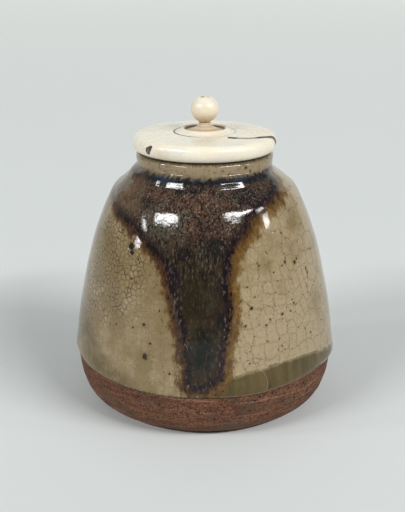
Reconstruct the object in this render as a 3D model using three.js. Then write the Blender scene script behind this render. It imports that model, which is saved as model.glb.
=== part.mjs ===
// A small lidded tea jar: a thrown and trimmed stoneware jar under an ash glaze, with a darker
// iron glaze run poured over its shoulder, and a turned lid made of a ring, a centre plug,
// a drilled bead for a knob, the peg that holds it, and a gold-leafed lining underneath.
// Millimetres, +Z up. The origin is the middle of the foot, and the front faces -Y.
import * as THREE from 'three';

// Jar, bare clay
const jarHeight = 70;
const footRadius = 28;
const footRound = 0.4;
const bellyRadius = 35.45;
const bellyHeight = 17.6;
const arrisInset = 1.8;
const arrisHeight = 5.7;
const lipRadius = 18;
const lipWidth = 2.3;
const lipCrown = 0.8;
const lipRise = 3;
const neckWaist = 0.75;
const wallThickness = 2.5;
const floorThickness = 4;
const floorFlatRadius = 18;
const throatLength = 5.4;

// Finger spiral that throwing leaves inside
const spiralPitch = 11;
const spiralDepth = 0.35;

// Glaze coats: the ash glaze lies on the clay and the iron glaze lies on the ash glaze
const glazeThickness = 0.45;
const glazeLineHeight = 14;
const glazeLineSway = 2;
const glazeRollHeight = 1.3;
const glazeRollThickness = 0.2;
const glazeEdgeThickness = 0.2;
const glazeDepthInMouth = 4.6;
const poolThickness = 0.18;
const runThickness = 0.4;
const runEdgeThickness = 0.1;
const runDropThickness = 0.2;
const runDropLength = 9;
const runTipRise = 1.3;
const runRowSpacing = 0.4;
const skinGap = 0.12;

// Lid
const lidOverhang = 0.75;
const lidThickness = 4.35;
const lidEdgeRound = 1.9;
const lidUnderRound = 1.25;
const lidDome = 0.3;
const seatGap = 0.2;
const flangeDepth = 3.2;
const flangeWidth = 2.1;
const flangeRound = 0.45;
const flangeClearance = 0.35;
const recessDepth = 1.5;
const liningThickness = 0.25;
const glueGap = 0.1;

// Centre plug, with its raised lip, well and stem
const plugRadius = 8.2;
const plugClearance = 0.12;
const plugChamfer = 0.2;
const plugLipRadius = 5.85;
const plugLipHeight = 1.05;
const wellDepth = 0.65;
const wellWall = 0.7;
const stemRadius = 1.5;
const stemHeight = 2.8;
const stemFlare = 0.15;

// Knob bead and peg
const beadRadius = 3.7;
const beadSeatRadius = 1.35;
const beadTopFlatRadius = 1.9;
const beadBoreChamfer = 0.4;
const beadGap = 0.12;
const pegRadius = 0.8;
const pegClearance = 0.14;
const pegSocketDepth = 4.2;
const pegEndGap = 0.15;
const pegDome = 0.2;

// Facets round the axis, and rows in each stretch of the wall
const jarFacets = 48;
const lidFacets = 40;
const plugFacets = 32;
const beadFacets = 20;
const pegFacets = 12;
const runColumns = 16;
const rowsPerStretch = 2;

// Places worked out from the sizes above
const neckRadius = lipRadius - neckWaist;
const neckHeight = jarHeight - lipRise;
const mouthRadius = lipRadius - lipWidth;
const crownHeight = jarHeight - lipCrown;
const throatEnd = crownHeight - throatLength;
const runTipHeight = glazeLineHeight + runTipRise;
const lidUnderside = jarHeight + skinGap + glazeThickness + seatGap;
const lidTop = lidUnderside + lidThickness;
const lidRadius = lipRadius + skinGap + glazeThickness + lidOverhang;
const flangeRadius = mouthRadius - skinGap - glazeThickness - flangeClearance;
const flangeInnerRadius = flangeRadius - flangeWidth;
const recessCeiling = lidUnderside + recessDepth;
const plugTop = lidTop + lidDome;
const stemTop = lidTop + stemHeight;
const pegHoleRadius = pegRadius + pegClearance;
const beadBottom = stemTop + beadGap;
const beadCentre = beadBottom + Math.sqrt(beadRadius ** 2 - beadSeatRadius ** 2);
const beadTop = beadCentre + Math.sqrt(beadRadius ** 2 - beadTopFlatRadius ** 2);

// Outlines between two named places, as shares of the way across and up from the first
const footFacetShares = [
  [0.42, 0.26],
  [0.76, 0.6],
];
const lowerWallShares = [
  [0.8, 0.4],
];
const upperWallShares = [
  [0.103, 0.277],
  [0.303, 0.591],
  [0.568, 0.838],
  [0.898, 0.947],
];
const innerFootShares = [
  [0.06, 0.45],
  [0.3, 0.85],
  [0.65, 0.98],
];

// The plug: shares of the slope from its edge to its lip, and from the well's edge to the stem's top
const plugSlopeShares = [
  [0.6, 0.4],
  [0.9, 0.9],
];
const stemShares = [
  [0.3, 0.06],
  [0.38, 0.16],
  [0.6, 0.22],
  [0.68, 0.34],
  [0.85, 0.5],
  [1, 0.78],
];

// Rolled lower edge of the ash glaze: shares of the roll's height and of the glaze's thickness
const glazeRollShares = [
  [0, 0],
  [0.3, 0.6],
  [1, 1],
];

// The ash glaze's lower edge: share of a turn from the front towards the right, then how far the
// edge lies above its usual height, as a share of its sway
const glazeLineShares = [
  [-0.5, 0.1],
  [-0.36, 0.4],
  [-0.28, 0.75],
  [-0.21, 0.95],
  [-0.165, 0.4],
  [-0.11, 0.08],
  [-0.055, -0.18],
  [0, -0.05],
  [0.06, -0.1],
  [0.11, 0.3],
  [0.165, 0.65],
  [0.22, 0.1],
  [0.3, -0.05],
  [0.4, 0.15],
  [0.5, 0.1],
];

// The iron run's edges: share of the way from its tip to the neck, then the share of half a turn
// that its left and its right edge lie from the front
const runEdgeShares = [
  [0, -0.033, 0.003],
  [0.025, -0.05, 0.02],
  [0.065, -0.052, 0.043],
  [0.105, -0.049, 0.054],
  [0.19, -0.056, 0.053],
  [0.31, -0.066, 0.074],
  [0.45, -0.086, 0.08],
  [0.52, -0.102, 0.074],
  [0.59, -0.11, 0.079],
  [0.645, -0.14, 0.087],
  [0.695, -0.192, 0.11],
  [0.74, -0.228, 0.142],
  [0.785, -0.31, 0.161],
  [0.82, -0.354, 0.195],
  [0.865, -0.44, 0.29],
  [0.935, -0.51, 0.39],
  [1, -0.54, 0.405],
];

const clay = new THREE.MeshStandardMaterial({ color: 0x85543c, roughness: 0.9, metalness: 0 });
const ash = new THREE.MeshStandardMaterial({ color: 0xa89a78, roughness: 0.18, metalness: 0 });
const iron = new THREE.MeshStandardMaterial({ color: 0x3b2a22, roughness: 0.14, metalness: 0 });
const ivory = new THREE.MeshStandardMaterial({ color: 0xf0e6cb, roughness: 0.3, metalness: 0 });
const agedIvory = new THREE.MeshStandardMaterial({ color: 0xe2d0a6, roughness: 0.4, metalness: 0 });
const goldLeaf = new THREE.MeshStandardMaterial({ color: 0xc9a24a, roughness: 0.4, metalness: 0.8 });

const mix = THREE.MathUtils.lerp;
const clamp = THREE.MathUtils.clamp;
const easeBetween = THREE.MathUtils.smoothstep;

function at(radius, height) {
  return new THREE.Vector2(radius, height);
}

// Two outline places and the ones between them that a table of shares gives
function stretch(start, end, shares) {
  const middle = shares.map(([across, up]) => at(mix(start.x, end.x, across), mix(start.y, end.y, up)));
  return [start, ...middle, end];
}

// Part of an ellipse, with its ends given in quarter turns: 0 points outwards and 1 points up
function arc(centre, acrossSize, upSize, from, to, steps) {
  return Array.from({ length: steps + 1 }, (_, i) => {
    const angle = mix(from, to, i / steps) * Math.PI / 2;
    return at(centre.x + acrossSize * Math.cos(angle), centre.y + upSize * Math.sin(angle));
  });
}

// Unit normals of an outline, pointing to the right hand of someone who walks along it
function normalsOf(outline) {
  return outline.map((_, i) => {
    const before = outline[Math.max(i - 1, 0)];
    const after = outline[Math.min(i + 1, outline.length - 1)];
    return at(after.y - before.y, before.x - after.x).normalize();
  });
}

// Turns an outline about Z, starting at the front
function turned(outline, facets) {
  return new THREE.LatheGeometry(outline, facets).rotateX(Math.PI / 2);
}

// The clay's outside from the arris over the belly and shoulder to the middle of the neck
function outerWall() {
  const arris = at(bellyRadius - arrisInset, arrisHeight);
  const belly = at(bellyRadius, bellyHeight);
  const neck = at(neckRadius, neckHeight);
  const midNeck = at(neckRadius + neckWaist / 2, (neckHeight + crownHeight) / 2);
  const lower = stretch(arris, belly, lowerWallShares);
  const upper = stretch(belly, neck, upperWallShares);
  const places = [...lower, ...upper.slice(1)];
  const curve = new THREE.SplineCurve(places);
  return [...curve.getPoints((places.length - 1) * rowsPerStretch), midNeck];
}

const wallOutline = outerWall();
const wallNormals = normalsOf(wallOutline);

// The place and the outward normal of the clay's outside at a height
function outsideAt(height) {
  const above = wallOutline.findIndex((p) => p.y >= height);
  const last = wallOutline.length - 1;
  const high = clamp(above < 0 ? last : above, 1, last);
  const low = high - 1;
  const [lowPlace, highPlace] = [wallOutline[low], wallOutline[high]];
  const share = clamp((height - lowPlace.y) / (highPlace.y - lowPlace.y), 0, 1);
  return {
    place: lowPlace.clone().lerp(highPlace, share),
    normal: wallNormals[low].clone().lerp(wallNormals[high], share).normalize(),
  };
}

function lipOutline() {
  const halfWidth = lipWidth / 2;
  return arc(at(lipRadius - halfWidth, crownHeight), halfWidth, lipCrown, 0, 2, 4);
}

// The inside below the lip: straight throat, the wall's thickness in from the outside, then round
// to the floor, with its places close enough together to carry the finger spiral
function innerWall() {
  const side = wallOutline
    .map((place, i) => place.clone().addScaledVector(wallNormals[i], -wallThickness))
    .filter((place) => place.y > bellyHeight + wallThickness && place.y < throatEnd)
    .filter((place) => place.x > mouthRadius)
    .reverse();
  const turn = stretch(
    at(bellyRadius - wallThickness, bellyHeight), at(floorFlatRadius, floorThickness), innerFootShares);
  const curve = new THREE.SplineCurve([at(mouthRadius, throatEnd), ...side, ...turn]);
  const placesPerPitch = 4;
  return curve.getSpacedPoints(Math.ceil(curve.getLength() * placesPerPitch / spiralPitch));
}

function clayOutline() {
  const footEdge = at(footRadius, footRound);
  return [
    at(0, 0),
    at(footRadius - footRound, 0),
    ...stretch(footEdge, wallOutline[0], footFacetShares),
    ...wallOutline.slice(1),
    ...lipOutline(),
    ...innerWall(),
    at(0, floorThickness),
  ];
}

// The clay jar, with one finger spiral rising round its inside
function clayBody() {
  const geometry = turned(clayOutline(), jarFacets);
  const position = geometry.getAttribute('position');
  const fade = spiralPitch / 2;
  for (let i = 0; i < position.count; i += 1) {
    const [x, y, height] = [position.getX(i), position.getY(i), position.getZ(i)];
    const radius = Math.hypot(x, y);
    const inside = radius > 0 && radius < outsideAt(height).place.x - wallThickness / 2;
    const strength = easeBetween(height, floorThickness, floorThickness + fade)
      * (1 - easeBetween(height, throatEnd - fade, throatEnd));
    const ridge = Math.cos(2 * Math.PI * height / spiralPitch - Math.atan2(x, -y));
    const scale = inside ? 1 + spiralDepth * strength * ridge / radius : 1;
    position.setXY(i, x * scale, y * scale);
  }
  return geometry;
}

// A point at an angle from the front, standing off a place of an outline along its normal
function offOutline({ place, normal }, angle, standOff) {
  const radius = place.x + normal.x * standOff;
  const height = place.y + normal.y * standOff;
  return new THREE.Vector3(radius * Math.sin(angle), -radius * Math.cos(angle), height);
}

// A closed skin between an inner and an outer grid of points, each a list of rows. Where it wraps,
// the last column joins the first. Each four-sided face is split along its shorter diagonal.
function skinBetween(inner, outer, wraps) {
  const rows = inner.length;
  const columns = inner[0].length;
  const points = [...inner.flat(), ...outer.flat()];
  const faces = [];
  const addFace = (a, b, c, d) => {
    const splitAlongFirst = points[a].distanceTo(points[c]) <= points[b].distanceTo(points[d]);
    faces.push(...(splitAlongFirst ? [a, b, c, a, c, d] : [a, b, d, b, c, d]));
  };
  const inside = (row, column) => row * columns + (column % columns);
  const outside = (row, column) => rows * columns + inside(row, column);
  const top = rows - 1;
  const last = columns - 1;
  for (let column = 0; column < (wraps ? columns : last); column += 1) {
    const next = column + 1;
    for (let row = 0; row < top; row += 1) {
      const up = row + 1;
      addFace(outside(row, column), outside(row, next), outside(up, next), outside(up, column));
      addFace(inside(up, column), inside(up, next), inside(row, next), inside(row, column));
    }
    addFace(inside(0, column), inside(0, next), outside(0, next), outside(0, column));
    addFace(inside(top, next), inside(top, column), outside(top, column), outside(top, next));
  }
  for (let row = 0; !wraps && row < top; row += 1) {
    const up = row + 1;
    addFace(inside(up, 0), inside(row, 0), outside(row, 0), outside(up, 0));
    addFace(inside(row, last), inside(up, last), outside(up, last), outside(row, last));
  }
  const geometry = new THREE.BufferGeometry();
  geometry.setAttribute('position', new THREE.Float32BufferAttribute(points.flatMap((p) => p.toArray()), 3));
  geometry.setIndex(faces);
  geometry.computeVertexNormals();
  return geometry;
}

// A row of a table of shares, mixed from the two rows that its first share lies between
function rowAt(table, share) {
  const high = Math.max(table.findIndex(([first]) => first >= share), 1);
  const [before, after] = [table[high - 1], table[high]];
  const along = (share - before[0]) / (after[0] - before[0]);
  return before.map((value, i) => mix(value, after[i], along));
}

// Height of the ash glaze's lower edge, which sways round the jar
function glazeLineAt(angle) {
  const turns = angle / (2 * Math.PI);
  const [, swayShare] = rowAt(glazeLineShares, turns - Math.round(turns));
  return glazeLineHeight + glazeLineSway * swayShare;
}

// Thickness of the ash glaze: more in the roll above its lower edge, and where it ran together
// low on the right of the front
function glazeThicknessAt(height, angle) {
  const rollTop = glazeLineAt(angle) + glazeRollHeight;
  const roll = clamp((bellyHeight - height) / (bellyHeight - rollTop), 0, 1);
  const low = 1 - easeBetween(height, bellyHeight, bellyHeight + runDropLength);
  const side = easeBetween(Math.cos(angle - Math.PI / 4), 0.3, 0.9);
  return glazeThickness + glazeRollThickness * roll + poolThickness * low * side;
}

// The ash glaze from its swaying lower edge over the wall and lip, and a little into the mouth
function ashGlaze() {
  const coatEnd = at(mouthRadius, jarHeight - glazeDepthInMouth);
  const throatTop = at(mouthRadius, (crownHeight + coatEnd.y) / 2);
  const coatedWall = wallOutline.filter((place) => place.y >= bellyHeight);
  const path = [...coatedWall, ...lipOutline(), throatTop, coatEnd];
  const normals = normalsOf(path);
  const angles = Array.from({ length: jarFacets }, (_, i) => 2 * Math.PI * i / jarFacets);
  const inner = [];
  const outer = [];
  const addRow = (outlineAt, thicknessAt) => {
    inner.push(angles.map((angle) => offOutline(outlineAt(angle), angle, skinGap)));
    outer.push(angles.map((angle) => offOutline(outlineAt(angle), angle, skinGap + thicknessAt(angle))));
  };
  glazeRollShares.forEach(([riseShare, thicknessShare]) => {
    const heightAt = (angle) => glazeLineAt(angle) + glazeRollHeight * riseShare;
    addRow(
      (angle) => outsideAt(heightAt(angle)),
      (angle) => mix(glazeEdgeThickness, glazeThicknessAt(heightAt(angle), angle), thicknessShare));
  });
  path.forEach((place, i) => {
    const normal = normals[i];
    addRow(
      () => ({ place, normal }),
      (angle) => (place === coatEnd ? glazeEdgeThickness : glazeThicknessAt(place.y, angle)));
  });
  return skinBetween(inner, outer, true);
}

// The iron run's left and right edge at a height, as angles from the front
function runEdgesAt(height) {
  const share = clamp((height - runTipHeight) / (neckHeight - runTipHeight), 0, 1);
  const [, left, right] = rowAt(runEdgeShares, share);
  return [left * Math.PI, right * Math.PI];
}

// Heights of the run's rows: close enough that neither edge moves by more than one facet of the
// jar from row to row, with the rows of the wall among them
function runHeights() {
  const edgeRows = runEdgeShares.slice(1).flatMap((row, i) => {
    const before = runEdgeShares[i];
    const widestMove = Math.max(Math.abs(row[1] - before[1]), Math.abs(row[2] - before[2]));
    const steps = Math.ceil(widestMove * jarFacets / 2);
    return Array.from({ length: steps }, (_, step) => mix(before[0], row[0], (step + 1) / steps));
  });
  return [0, ...edgeRows]
    .map((share) => mix(runTipHeight, neckHeight, share))
    .concat(wallOutline.map((place) => place.y))
    .filter((height) => height >= runTipHeight && height <= neckHeight)
    .sort((a, b) => a - b)
    .filter((height, i, all) => i === 0 || height - all[i - 1] > runRowSpacing);
}

// The iron glaze run: wide over the shoulder, a tongue down the front, a thicker drop at its tip
function ironRun() {
  const columnShares = Array.from({ length: runColumns + 1 }, (_, i) => i / runColumns);
  const inner = [];
  const outer = [];
  runHeights().forEach((height) => {
    const [left, right] = runEdgesAt(height);
    const outline = outsideAt(height);
    const drop = runDropThickness * (1 - easeBetween(height, runTipHeight, runTipHeight + runDropLength));
    const fadeAtNeck = clamp((neckHeight - height) / (lipRise / 2), 0, 1);
    const crownAt = (column) => (runThickness + drop) * fadeAtNeck * Math.sqrt(4 * column * (1 - column));
    const pointAt = (column, thickness) => {
      const angle = mix(left, right, column);
      return offOutline(outline, angle, 2 * skinGap + glazeThicknessAt(height, angle) + thickness);
    };
    inner.push(columnShares.map((column) => pointAt(column, 0)));
    outer.push(columnShares.map((column) => pointAt(column, runEdgeThickness + crownAt(column))));
  });
  return skinBetween(inner, outer, false);
}

// The lid's ring: full rounded edge, flat seat, and the flange that drops into the mouth
function lidRing() {
  const holeRadius = plugRadius + plugClearance;
  const widest = lidUnderside + lidThickness * 0.55;
  const flangeEnd = lidUnderside - flangeDepth;
  const outline = [
    at(flangeInnerRadius, recessCeiling),
    at(flangeInnerRadius, flangeEnd + flangeRound),
    at(flangeInnerRadius + flangeRound, flangeEnd),
    at(flangeRadius - flangeRound, flangeEnd),
    at(flangeRadius, flangeEnd + flangeRound),
    at(flangeRadius, lidUnderside),
    ...arc(at(lidRadius - lidUnderRound, widest), lidUnderRound, widest - lidUnderside, -1, 0, 4),
    ...arc(at(lidRadius - lidEdgeRound, widest), lidEdgeRound, lidTop - widest, 0, 1, 5).slice(1),
    at(mix(lidRadius - lidEdgeRound, holeRadius, 1 / 2), lidTop + lidDome * 3 / 4),
    at(holeRadius + plugChamfer, plugTop),
    at(holeRadius, plugTop - plugChamfer),
    at(holeRadius, recessCeiling),
    at(flangeInnerRadius, recessCeiling),
  ];
  return turned(outline, lidFacets);
}

// The plug in the ring's middle: a raised lip round a shallow stepped well, and the knob's stem
function lidPlug() {
  const lip = at(plugLipRadius, plugTop + plugLipHeight);
  const wellEdge = at(plugLipRadius - wellWall, lip.y - wellDepth);
  const stemEnd = at(stemRadius, stemTop);
  const outline = [
    at(0, recessCeiling),
    at(plugRadius, recessCeiling),
    at(plugRadius, plugTop - plugChamfer),
    ...stretch(at(plugRadius - plugChamfer, plugTop), lip, plugSlopeShares),
    ...stretch(wellEdge, stemEnd, stemShares).slice(0, -1),
    at(stemRadius + stemFlare, stemTop - stemFlare),
    at(stemRadius + stemFlare, stemTop),
    at(pegHoleRadius, stemTop),
    at(pegHoleRadius, stemTop - pegSocketDepth),
    at(0, stemTop - pegSocketDepth),
  ];
  return turned(outline, plugFacets);
}

// A bead flattened where it sits and on top, drilled through for its peg
function knobBead() {
  const from = -Math.acos(beadSeatRadius / beadRadius) / (Math.PI / 2);
  const to = Math.acos(beadTopFlatRadius / beadRadius) / (Math.PI / 2);
  const outline = [
    at(pegHoleRadius, beadBottom),
    ...arc(at(0, beadCentre), beadRadius, beadRadius, from, to, 11),
    at(pegHoleRadius + beadBoreChamfer, beadTop),
    at(pegHoleRadius, beadTop - beadBoreChamfer),
    at(pegHoleRadius, beadBottom),
  ];
  return turned(outline, beadFacets);
}

function knobPeg() {
  const foot = stemTop - pegSocketDepth + pegEndGap;
  const head = beadTop - beadBoreChamfer / 2;
  const crown = arc(at(0, head - pegDome), pegRadius, pegDome, 0, 1, 2);
  return turned([at(0, foot), at(pegRadius, foot), ...crown], pegFacets);
}

// Paper covered with gold leaf, glued to the ceiling of the lid's recess
function goldLining() {
  const top = recessCeiling - glueGap;
  const radius = flangeInnerRadius - glueGap;
  const outline = [
    at(0, top - liningThickness),
    at(radius, top - liningThickness),
    at(radius, top),
    at(0, top),
  ];
  return turned(outline, plugFacets);
}

function piece(name, geometry, material) {
  const mesh = new THREE.Mesh(geometry, material);
  mesh.name = name;
  return mesh;
}

const jar = new THREE.Group();
jar.add(piece('clay_body', clayBody(), clay));
jar.add(piece('ash_glaze_coat', ashGlaze(), ash));
jar.add(piece('iron_glaze_run', ironRun(), iron));

const lid = new THREE.Group();
lid.add(piece('lid_ring', lidRing(), ivory));
lid.add(piece('lid_centre_plug', lidPlug(), ivory));
lid.add(piece('knob_bead', knobBead(), agedIvory));
lid.add(piece('knob_peg', knobPeg(), agedIvory));
lid.add(piece('gold_leaf_lining', goldLining(), goldLeaf));

const teaJar = new THREE.Group();
teaJar.add(jar, lid);

export default teaJar;
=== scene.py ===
"""A small lidded tea jar, dressed round its packed solids: thrown stoneware with a trimmed foot, a
crackled ash glaze, an iron glaze run, and a turned lid with a plug, a bead knob and its peg."""

import bisect
import functools
import itertools
import math
from types import SimpleNamespace

import bmesh
import bpy
from bpy.props import FloatProperty, FloatVectorProperty, IntProperty, PointerProperty
from mathutils import Matrix, Quaternion, Vector, kdtree, noise


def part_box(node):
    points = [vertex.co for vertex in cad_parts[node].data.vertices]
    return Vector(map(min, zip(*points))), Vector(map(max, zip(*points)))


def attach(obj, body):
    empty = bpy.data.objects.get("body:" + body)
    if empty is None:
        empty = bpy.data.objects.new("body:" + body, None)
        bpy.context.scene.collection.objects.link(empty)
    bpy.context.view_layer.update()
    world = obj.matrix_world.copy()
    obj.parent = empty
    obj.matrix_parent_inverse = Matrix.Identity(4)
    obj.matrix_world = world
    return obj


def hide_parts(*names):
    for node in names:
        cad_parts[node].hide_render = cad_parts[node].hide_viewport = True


bl_info = {
    "name": "Lidded tea jar",
    "version": (1, 0, 0),
    "blender": (4, 5, 0),
    "location": "View3D > Sidebar > Tea jar",
    "description": "Builds a small tea jar's clay, glazes, lid and knob, and the stage round it",
    "category": "Mesh",
}

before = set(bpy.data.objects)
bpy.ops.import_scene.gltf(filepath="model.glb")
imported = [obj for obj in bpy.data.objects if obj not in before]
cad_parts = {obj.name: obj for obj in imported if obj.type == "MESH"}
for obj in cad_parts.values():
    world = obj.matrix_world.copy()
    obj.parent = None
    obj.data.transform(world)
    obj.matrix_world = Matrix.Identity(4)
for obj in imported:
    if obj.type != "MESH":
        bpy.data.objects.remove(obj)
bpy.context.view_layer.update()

# The outlines below are worked out in millimetres, and each finished mesh is scaled to metres
MM = 0.001
# A turned shape is spun over a sector and then doubled this many times, which is far quicker
SECTOR_DOUBLINGS = 4
# Places closer together than this are one place, in mm
SAME_PLACE = 1e-3
# Radius at which the crackle is laid out flat, in mm
UNROLL_RADIUS = 32.0
# How square the lip's edge is: 2 is an ellipse
LIP_FULLNESS = 2.5
# How strongly the glazes mirror, as indices of refraction
ASH_GLOSS = 1.43
IRON_GLOSS = 1.37

# Steps along each outline, in mm
CLAY_STEPS = SimpleNamespace(base=0.55, bare=0.3, glazed=2.4, throat=0.8, inside=1.0, floor=1.2)
GLAZE_STEPS = SimpleNamespace(outer=0.42, inner=1.5)
LID_STEPS = SimpleNamespace(top=0.2, seat=0.9, ceiling=1.5, peg=0.8, leaf=0.3, leaf_back=1.5)

# Marks in the bare clay, in mm: depth of the trimming lines and how often they come round the jar
# and up it, depth of the grit, and where the cutting string was pulled from
TRIM_DEPTH, TRIM_ROUND, TRIM_UP = 0.05, 0.15, 1.4
GRIT_DEPTH = 0.035
STRING_START = Vector((9.0, -15.0, 0.0))
# The slanting scratch low on the front: its ends, its depth, and its half widths in mm
SCRATCH_ENDS = (Vector((1.3, -33.8, 9.0)), Vector((4.6, -32.5, 5.9)))
SCRATCH_DEPTH, SCRATCH_FLOOR, SCRATCH_RIM = 0.16, 0.1, 0.55

# Relief of the fired glaze: depth in mm of its blotches, throwing rings and grain, how fine each
# is, and how the rings sway
RELIEF_DEPTHS = (0.045, 0.012, 0.012)
BLOTCH_SCALE, RING_SCALE, GRAIN_SCALE = 0.11, 1.15, 0.55
RING_SWAY, RING_SWAY_SCALE = 2.4, 0.045
# Heights between which the relief dies down towards the shoulder, and the share left above them
CALM_HEIGHTS, CALM_SHARE = (50, 56), 0.35

# The ash glaze: how far its line's sway reaches up, how far the olive pool fades in at its top and
# at its foot, and over how much it thins out at its end in the mouth, in mm
SWAY_REACH = 10
POOL_TOP_FADE, POOL_FOOT_FADE = 2.5, 2
MOUTH_EDGE = 1.2
# The pool's edge is averaged over these shares of a turn
POOL_SOFTENING = (-0.012, -0.006, 0.0, 0.006, 0.012)
# Marks on the glaze are told apart up to this distance, in mm
MARK_REACH = 9.0

# The iron run, in mm: how deep its edge and its inner side lie in the ash glaze, where its bevel
# starts, how wide the bevel is on the shoulder, and where it sinks in again under the neck
RUN_SUNK, RUN_BURIED = 0.04, 0.12
RUN_BEVEL_START, SHOULDER_BEVEL, SHOULDER_HEIGHTS = -0.6, 4.5, (38, 55)
RUN_NECK_FADE = 1.6
# The share of the run's thickness that stands out, and its grain
RUN_SHARE = 0.85
RUN_GRAIN, RUN_GRAIN_SCALE, RUN_GRAIN_EDGE = 0.014, 0.5, 1.5

# The lid: height of the rim's widest line as a share of its thickness, how full its dome is, depth
# and half widths of its crack, and depth of its wear in mm
RIM_WIDEST, DOME_FULLNESS = 0.55, 0.72
CRACK_DEPTH, CRACK_FLOOR, CRACK_RIM = 0.16, 0.2, 0.8
RIM_WEAR, TOP_WEAR, BEAD_WEAR = 0.03, 0.02, 0.025
# The gold leaf: its wrinkles in mm, and the width of a leaf
LEAF_WRINKLE, LEAF_WIDTH = 0.05, 9.0

CLAY_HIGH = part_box("clay_body")[1]
RING_LOW, RING_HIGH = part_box("lid_ring")
BEAD_LOW, BEAD_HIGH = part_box("knob_bead")
PEG_LOW, PEG_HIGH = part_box("knob_peg")
LINING_LOW, LINING_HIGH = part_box("gold_leaf_lining")

# Outlines between two named places, as shares of the way across and up from the first
FOOT_FACET_SHARES = ((0.42, 0.26), (0.76, 0.6))
LOWER_WALL_SHARES = ((0.8, 0.4),)
UPPER_WALL_SHARES = ((0.106, 0.278), (0.311, 0.592), (0.584, 0.84), (0.766, 0.912),
                     (0.898, 0.95), (0.972, 0.971))
INNER_FOOT_SHARES = ((0.06, 0.45), (0.3, 0.85), (0.65, 0.98))
PLUG_SLOPE_SHARES = ((0.35, 0.16), (0.6, 0.4), (0.9, 0.9))
STEM_SHARES = ((0.3, 0.06), (0.38, 0.16), (0.6, 0.22), (0.68, 0.34), (0.85, 0.5), (1, 0.78))

# The ash glaze's lower edge: share of a turn from the front towards the right, then how far the
# edge lies above its usual height, as a share of its sway
GLAZE_LINE_SHARES = (
    (-0.5, 0.1), (-0.36, 0.4), (-0.28, 0.75), (-0.21, 0.95), (-0.165, 0.4), (-0.11, 0.08),
    (-0.055, -0.18), (0, -0.05), (0.06, -0.1), (0.11, 0.3), (0.165, 0.65), (0.22, 0.1),
    (0.3, -0.05), (0.4, 0.15), (0.5, 0.1),
)

# The iron run's edges: share of the way from its tip to the neck, then the share of half a turn
# that its left and its right edge lie from the front
RUN_EDGE_SHARES = (
    (0, -0.033, 0.003), (0.025, -0.05, 0.02), (0.065, -0.052, 0.043), (0.105, -0.049, 0.054),
    (0.19, -0.056, 0.053), (0.31, -0.066, 0.074), (0.45, -0.086, 0.08), (0.52, -0.102, 0.074),
    (0.59, -0.11, 0.079), (0.645, -0.14, 0.087), (0.695, -0.192, 0.11), (0.74, -0.228, 0.142),
    (0.785, -0.31, 0.161), (0.82, -0.354, 0.195), (0.865, -0.44, 0.29), (0.935, -0.51, 0.39),
    (1, -0.54, 0.405),
)

# Upper edge of the olive pool low on the right: share of a turn from the front, then height in mm
POOL_EDGE = (
    (-0.5, 13.0), (-0.2, 13.0), (-0.008, 13.5), (0.02, 18.4), (0.033, 19.3), (0.045, 20.2),
    (0.059, 20.6), (0.079, 20.8), (0.097, 21.3), (0.116, 21.0), (0.138, 20.9), (0.177, 19.2),
    (0.205, 17.8), (0.25, 16.6), (0.3, 16.0), (0.36, 15.0), (0.42, 13.0), (0.5, 13.0),
)

# Thick glaze that pooled at the foot of the neck: degrees to the left of the front of its middle,
# degrees from there where it starts and where it is full, then its height and how far it stands
# out in mm
COLLAR_MIDDLE, COLLAR_START, COLLAR_FULL = 20, 100, 35
COLLAR = ((63.5, 0.0), (64.0, 0.02), (64.35, 0.31), (64.64, 0.58), (64.93, 0.82), (65.25, 1.15),
          (65.52, 1.41), (65.84, 1.54), (66.25, 1.54), (66.6, 1.2), (66.95, 0.6), (67.3, 0.14),
          (67.7, 0.0))

# Larger pits and bubbles in the glaze: degrees from the front, height in mm, radius in mm
GLAZE_PITS = (
    (-39.6, 49.9, 1.05), (-38.6, 48.5, 0.75), (-25.7, 23.5, 0.82), (-27.0, 31.6, 0.42),
    (-32.4, 30.4, 0.28), (-41.7, 29.9, 0.26), (-23.5, 27.1, 0.3), (-33.9, 47.3, 0.28),
    (-36.0, 42.3, 0.24), (-14.6, 20.1, 0.36), (42.0, 45.9, 0.4), (48.5, 45.1, 0.52),
    (50.4, 45.7, 0.3), (56.6, 42.4, 0.44), (57.4, 41.2, 0.4), (26.5, 46.3, 0.3),
    (34.2, 44.1, 0.26), (54.8, 37.8, 0.3), (55.2, 36.4, 0.26), (62.3, 38.1, 0.3),
    (20.8, 36.3, 0.44), (35.9, 33.4, 0.38), (17.5, 31.9, 0.36), (52.6, 25.9, 0.34),
    (34.3, 25.3, 0.26), (18.7, 22.4, 0.22), (27.1, 31.5, 0.26), (42.6, 36.2, 0.26),
    (43.7, 35.2, 0.28), (19.5, 41.6, 0.26), (34.9, 69.0, 0.42), (39.6, 67.9, 0.34),
)

# The crack in the lid: how far right and back of the lid's middle, in mm
CRACK_PATH = (
    (5.6, -8.2), (6.1, -8.45), (7.6, -8.86), (9.4, -9.12), (11.2, -9.04), (13.4, -8.1),
    (15.3, -6.9), (16.9, -5.95), (18.0, -4.75), (19.4, -4.2),
)

# Lights: degrees round from the front towards the right, degrees up, degrees wide, degrees tall,
# how far each one is turned in its own plane, and how bright its face is
SOFT_LIGHTS = {
    "left_softbox": (-48, 31, 24, 3.5, 12, 55.0),
    "right_softbox": (47, 34, 34, 5, -12, 45.0),
    "left_strip": (-75, 18.6, 6, 9.5, 0, 27.0),
    "right_strip": (77, 22, 7, 5, 0, 24.0),
}
LIGHT_DISTANCE = 5.0
LIGHT_AIM = Vector((0, 0, 0.045))
ROOM_COLOUR, ROOM_STRENGTH = (0.93, 0.97, 1.0, 1.0), 0.275

# The camera: its place in metres, how many degrees it looks down, its focal length and the
# picture's height in pixels, and its sensor in mm
CAMERA_PLACE, CAMERA_DOWN = (-0.0006, -0.28, 0.13057), 17.88
FOCAL_LENGTH, PICTURE_HEIGHT, SENSOR = 1057, 512, 36

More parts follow.
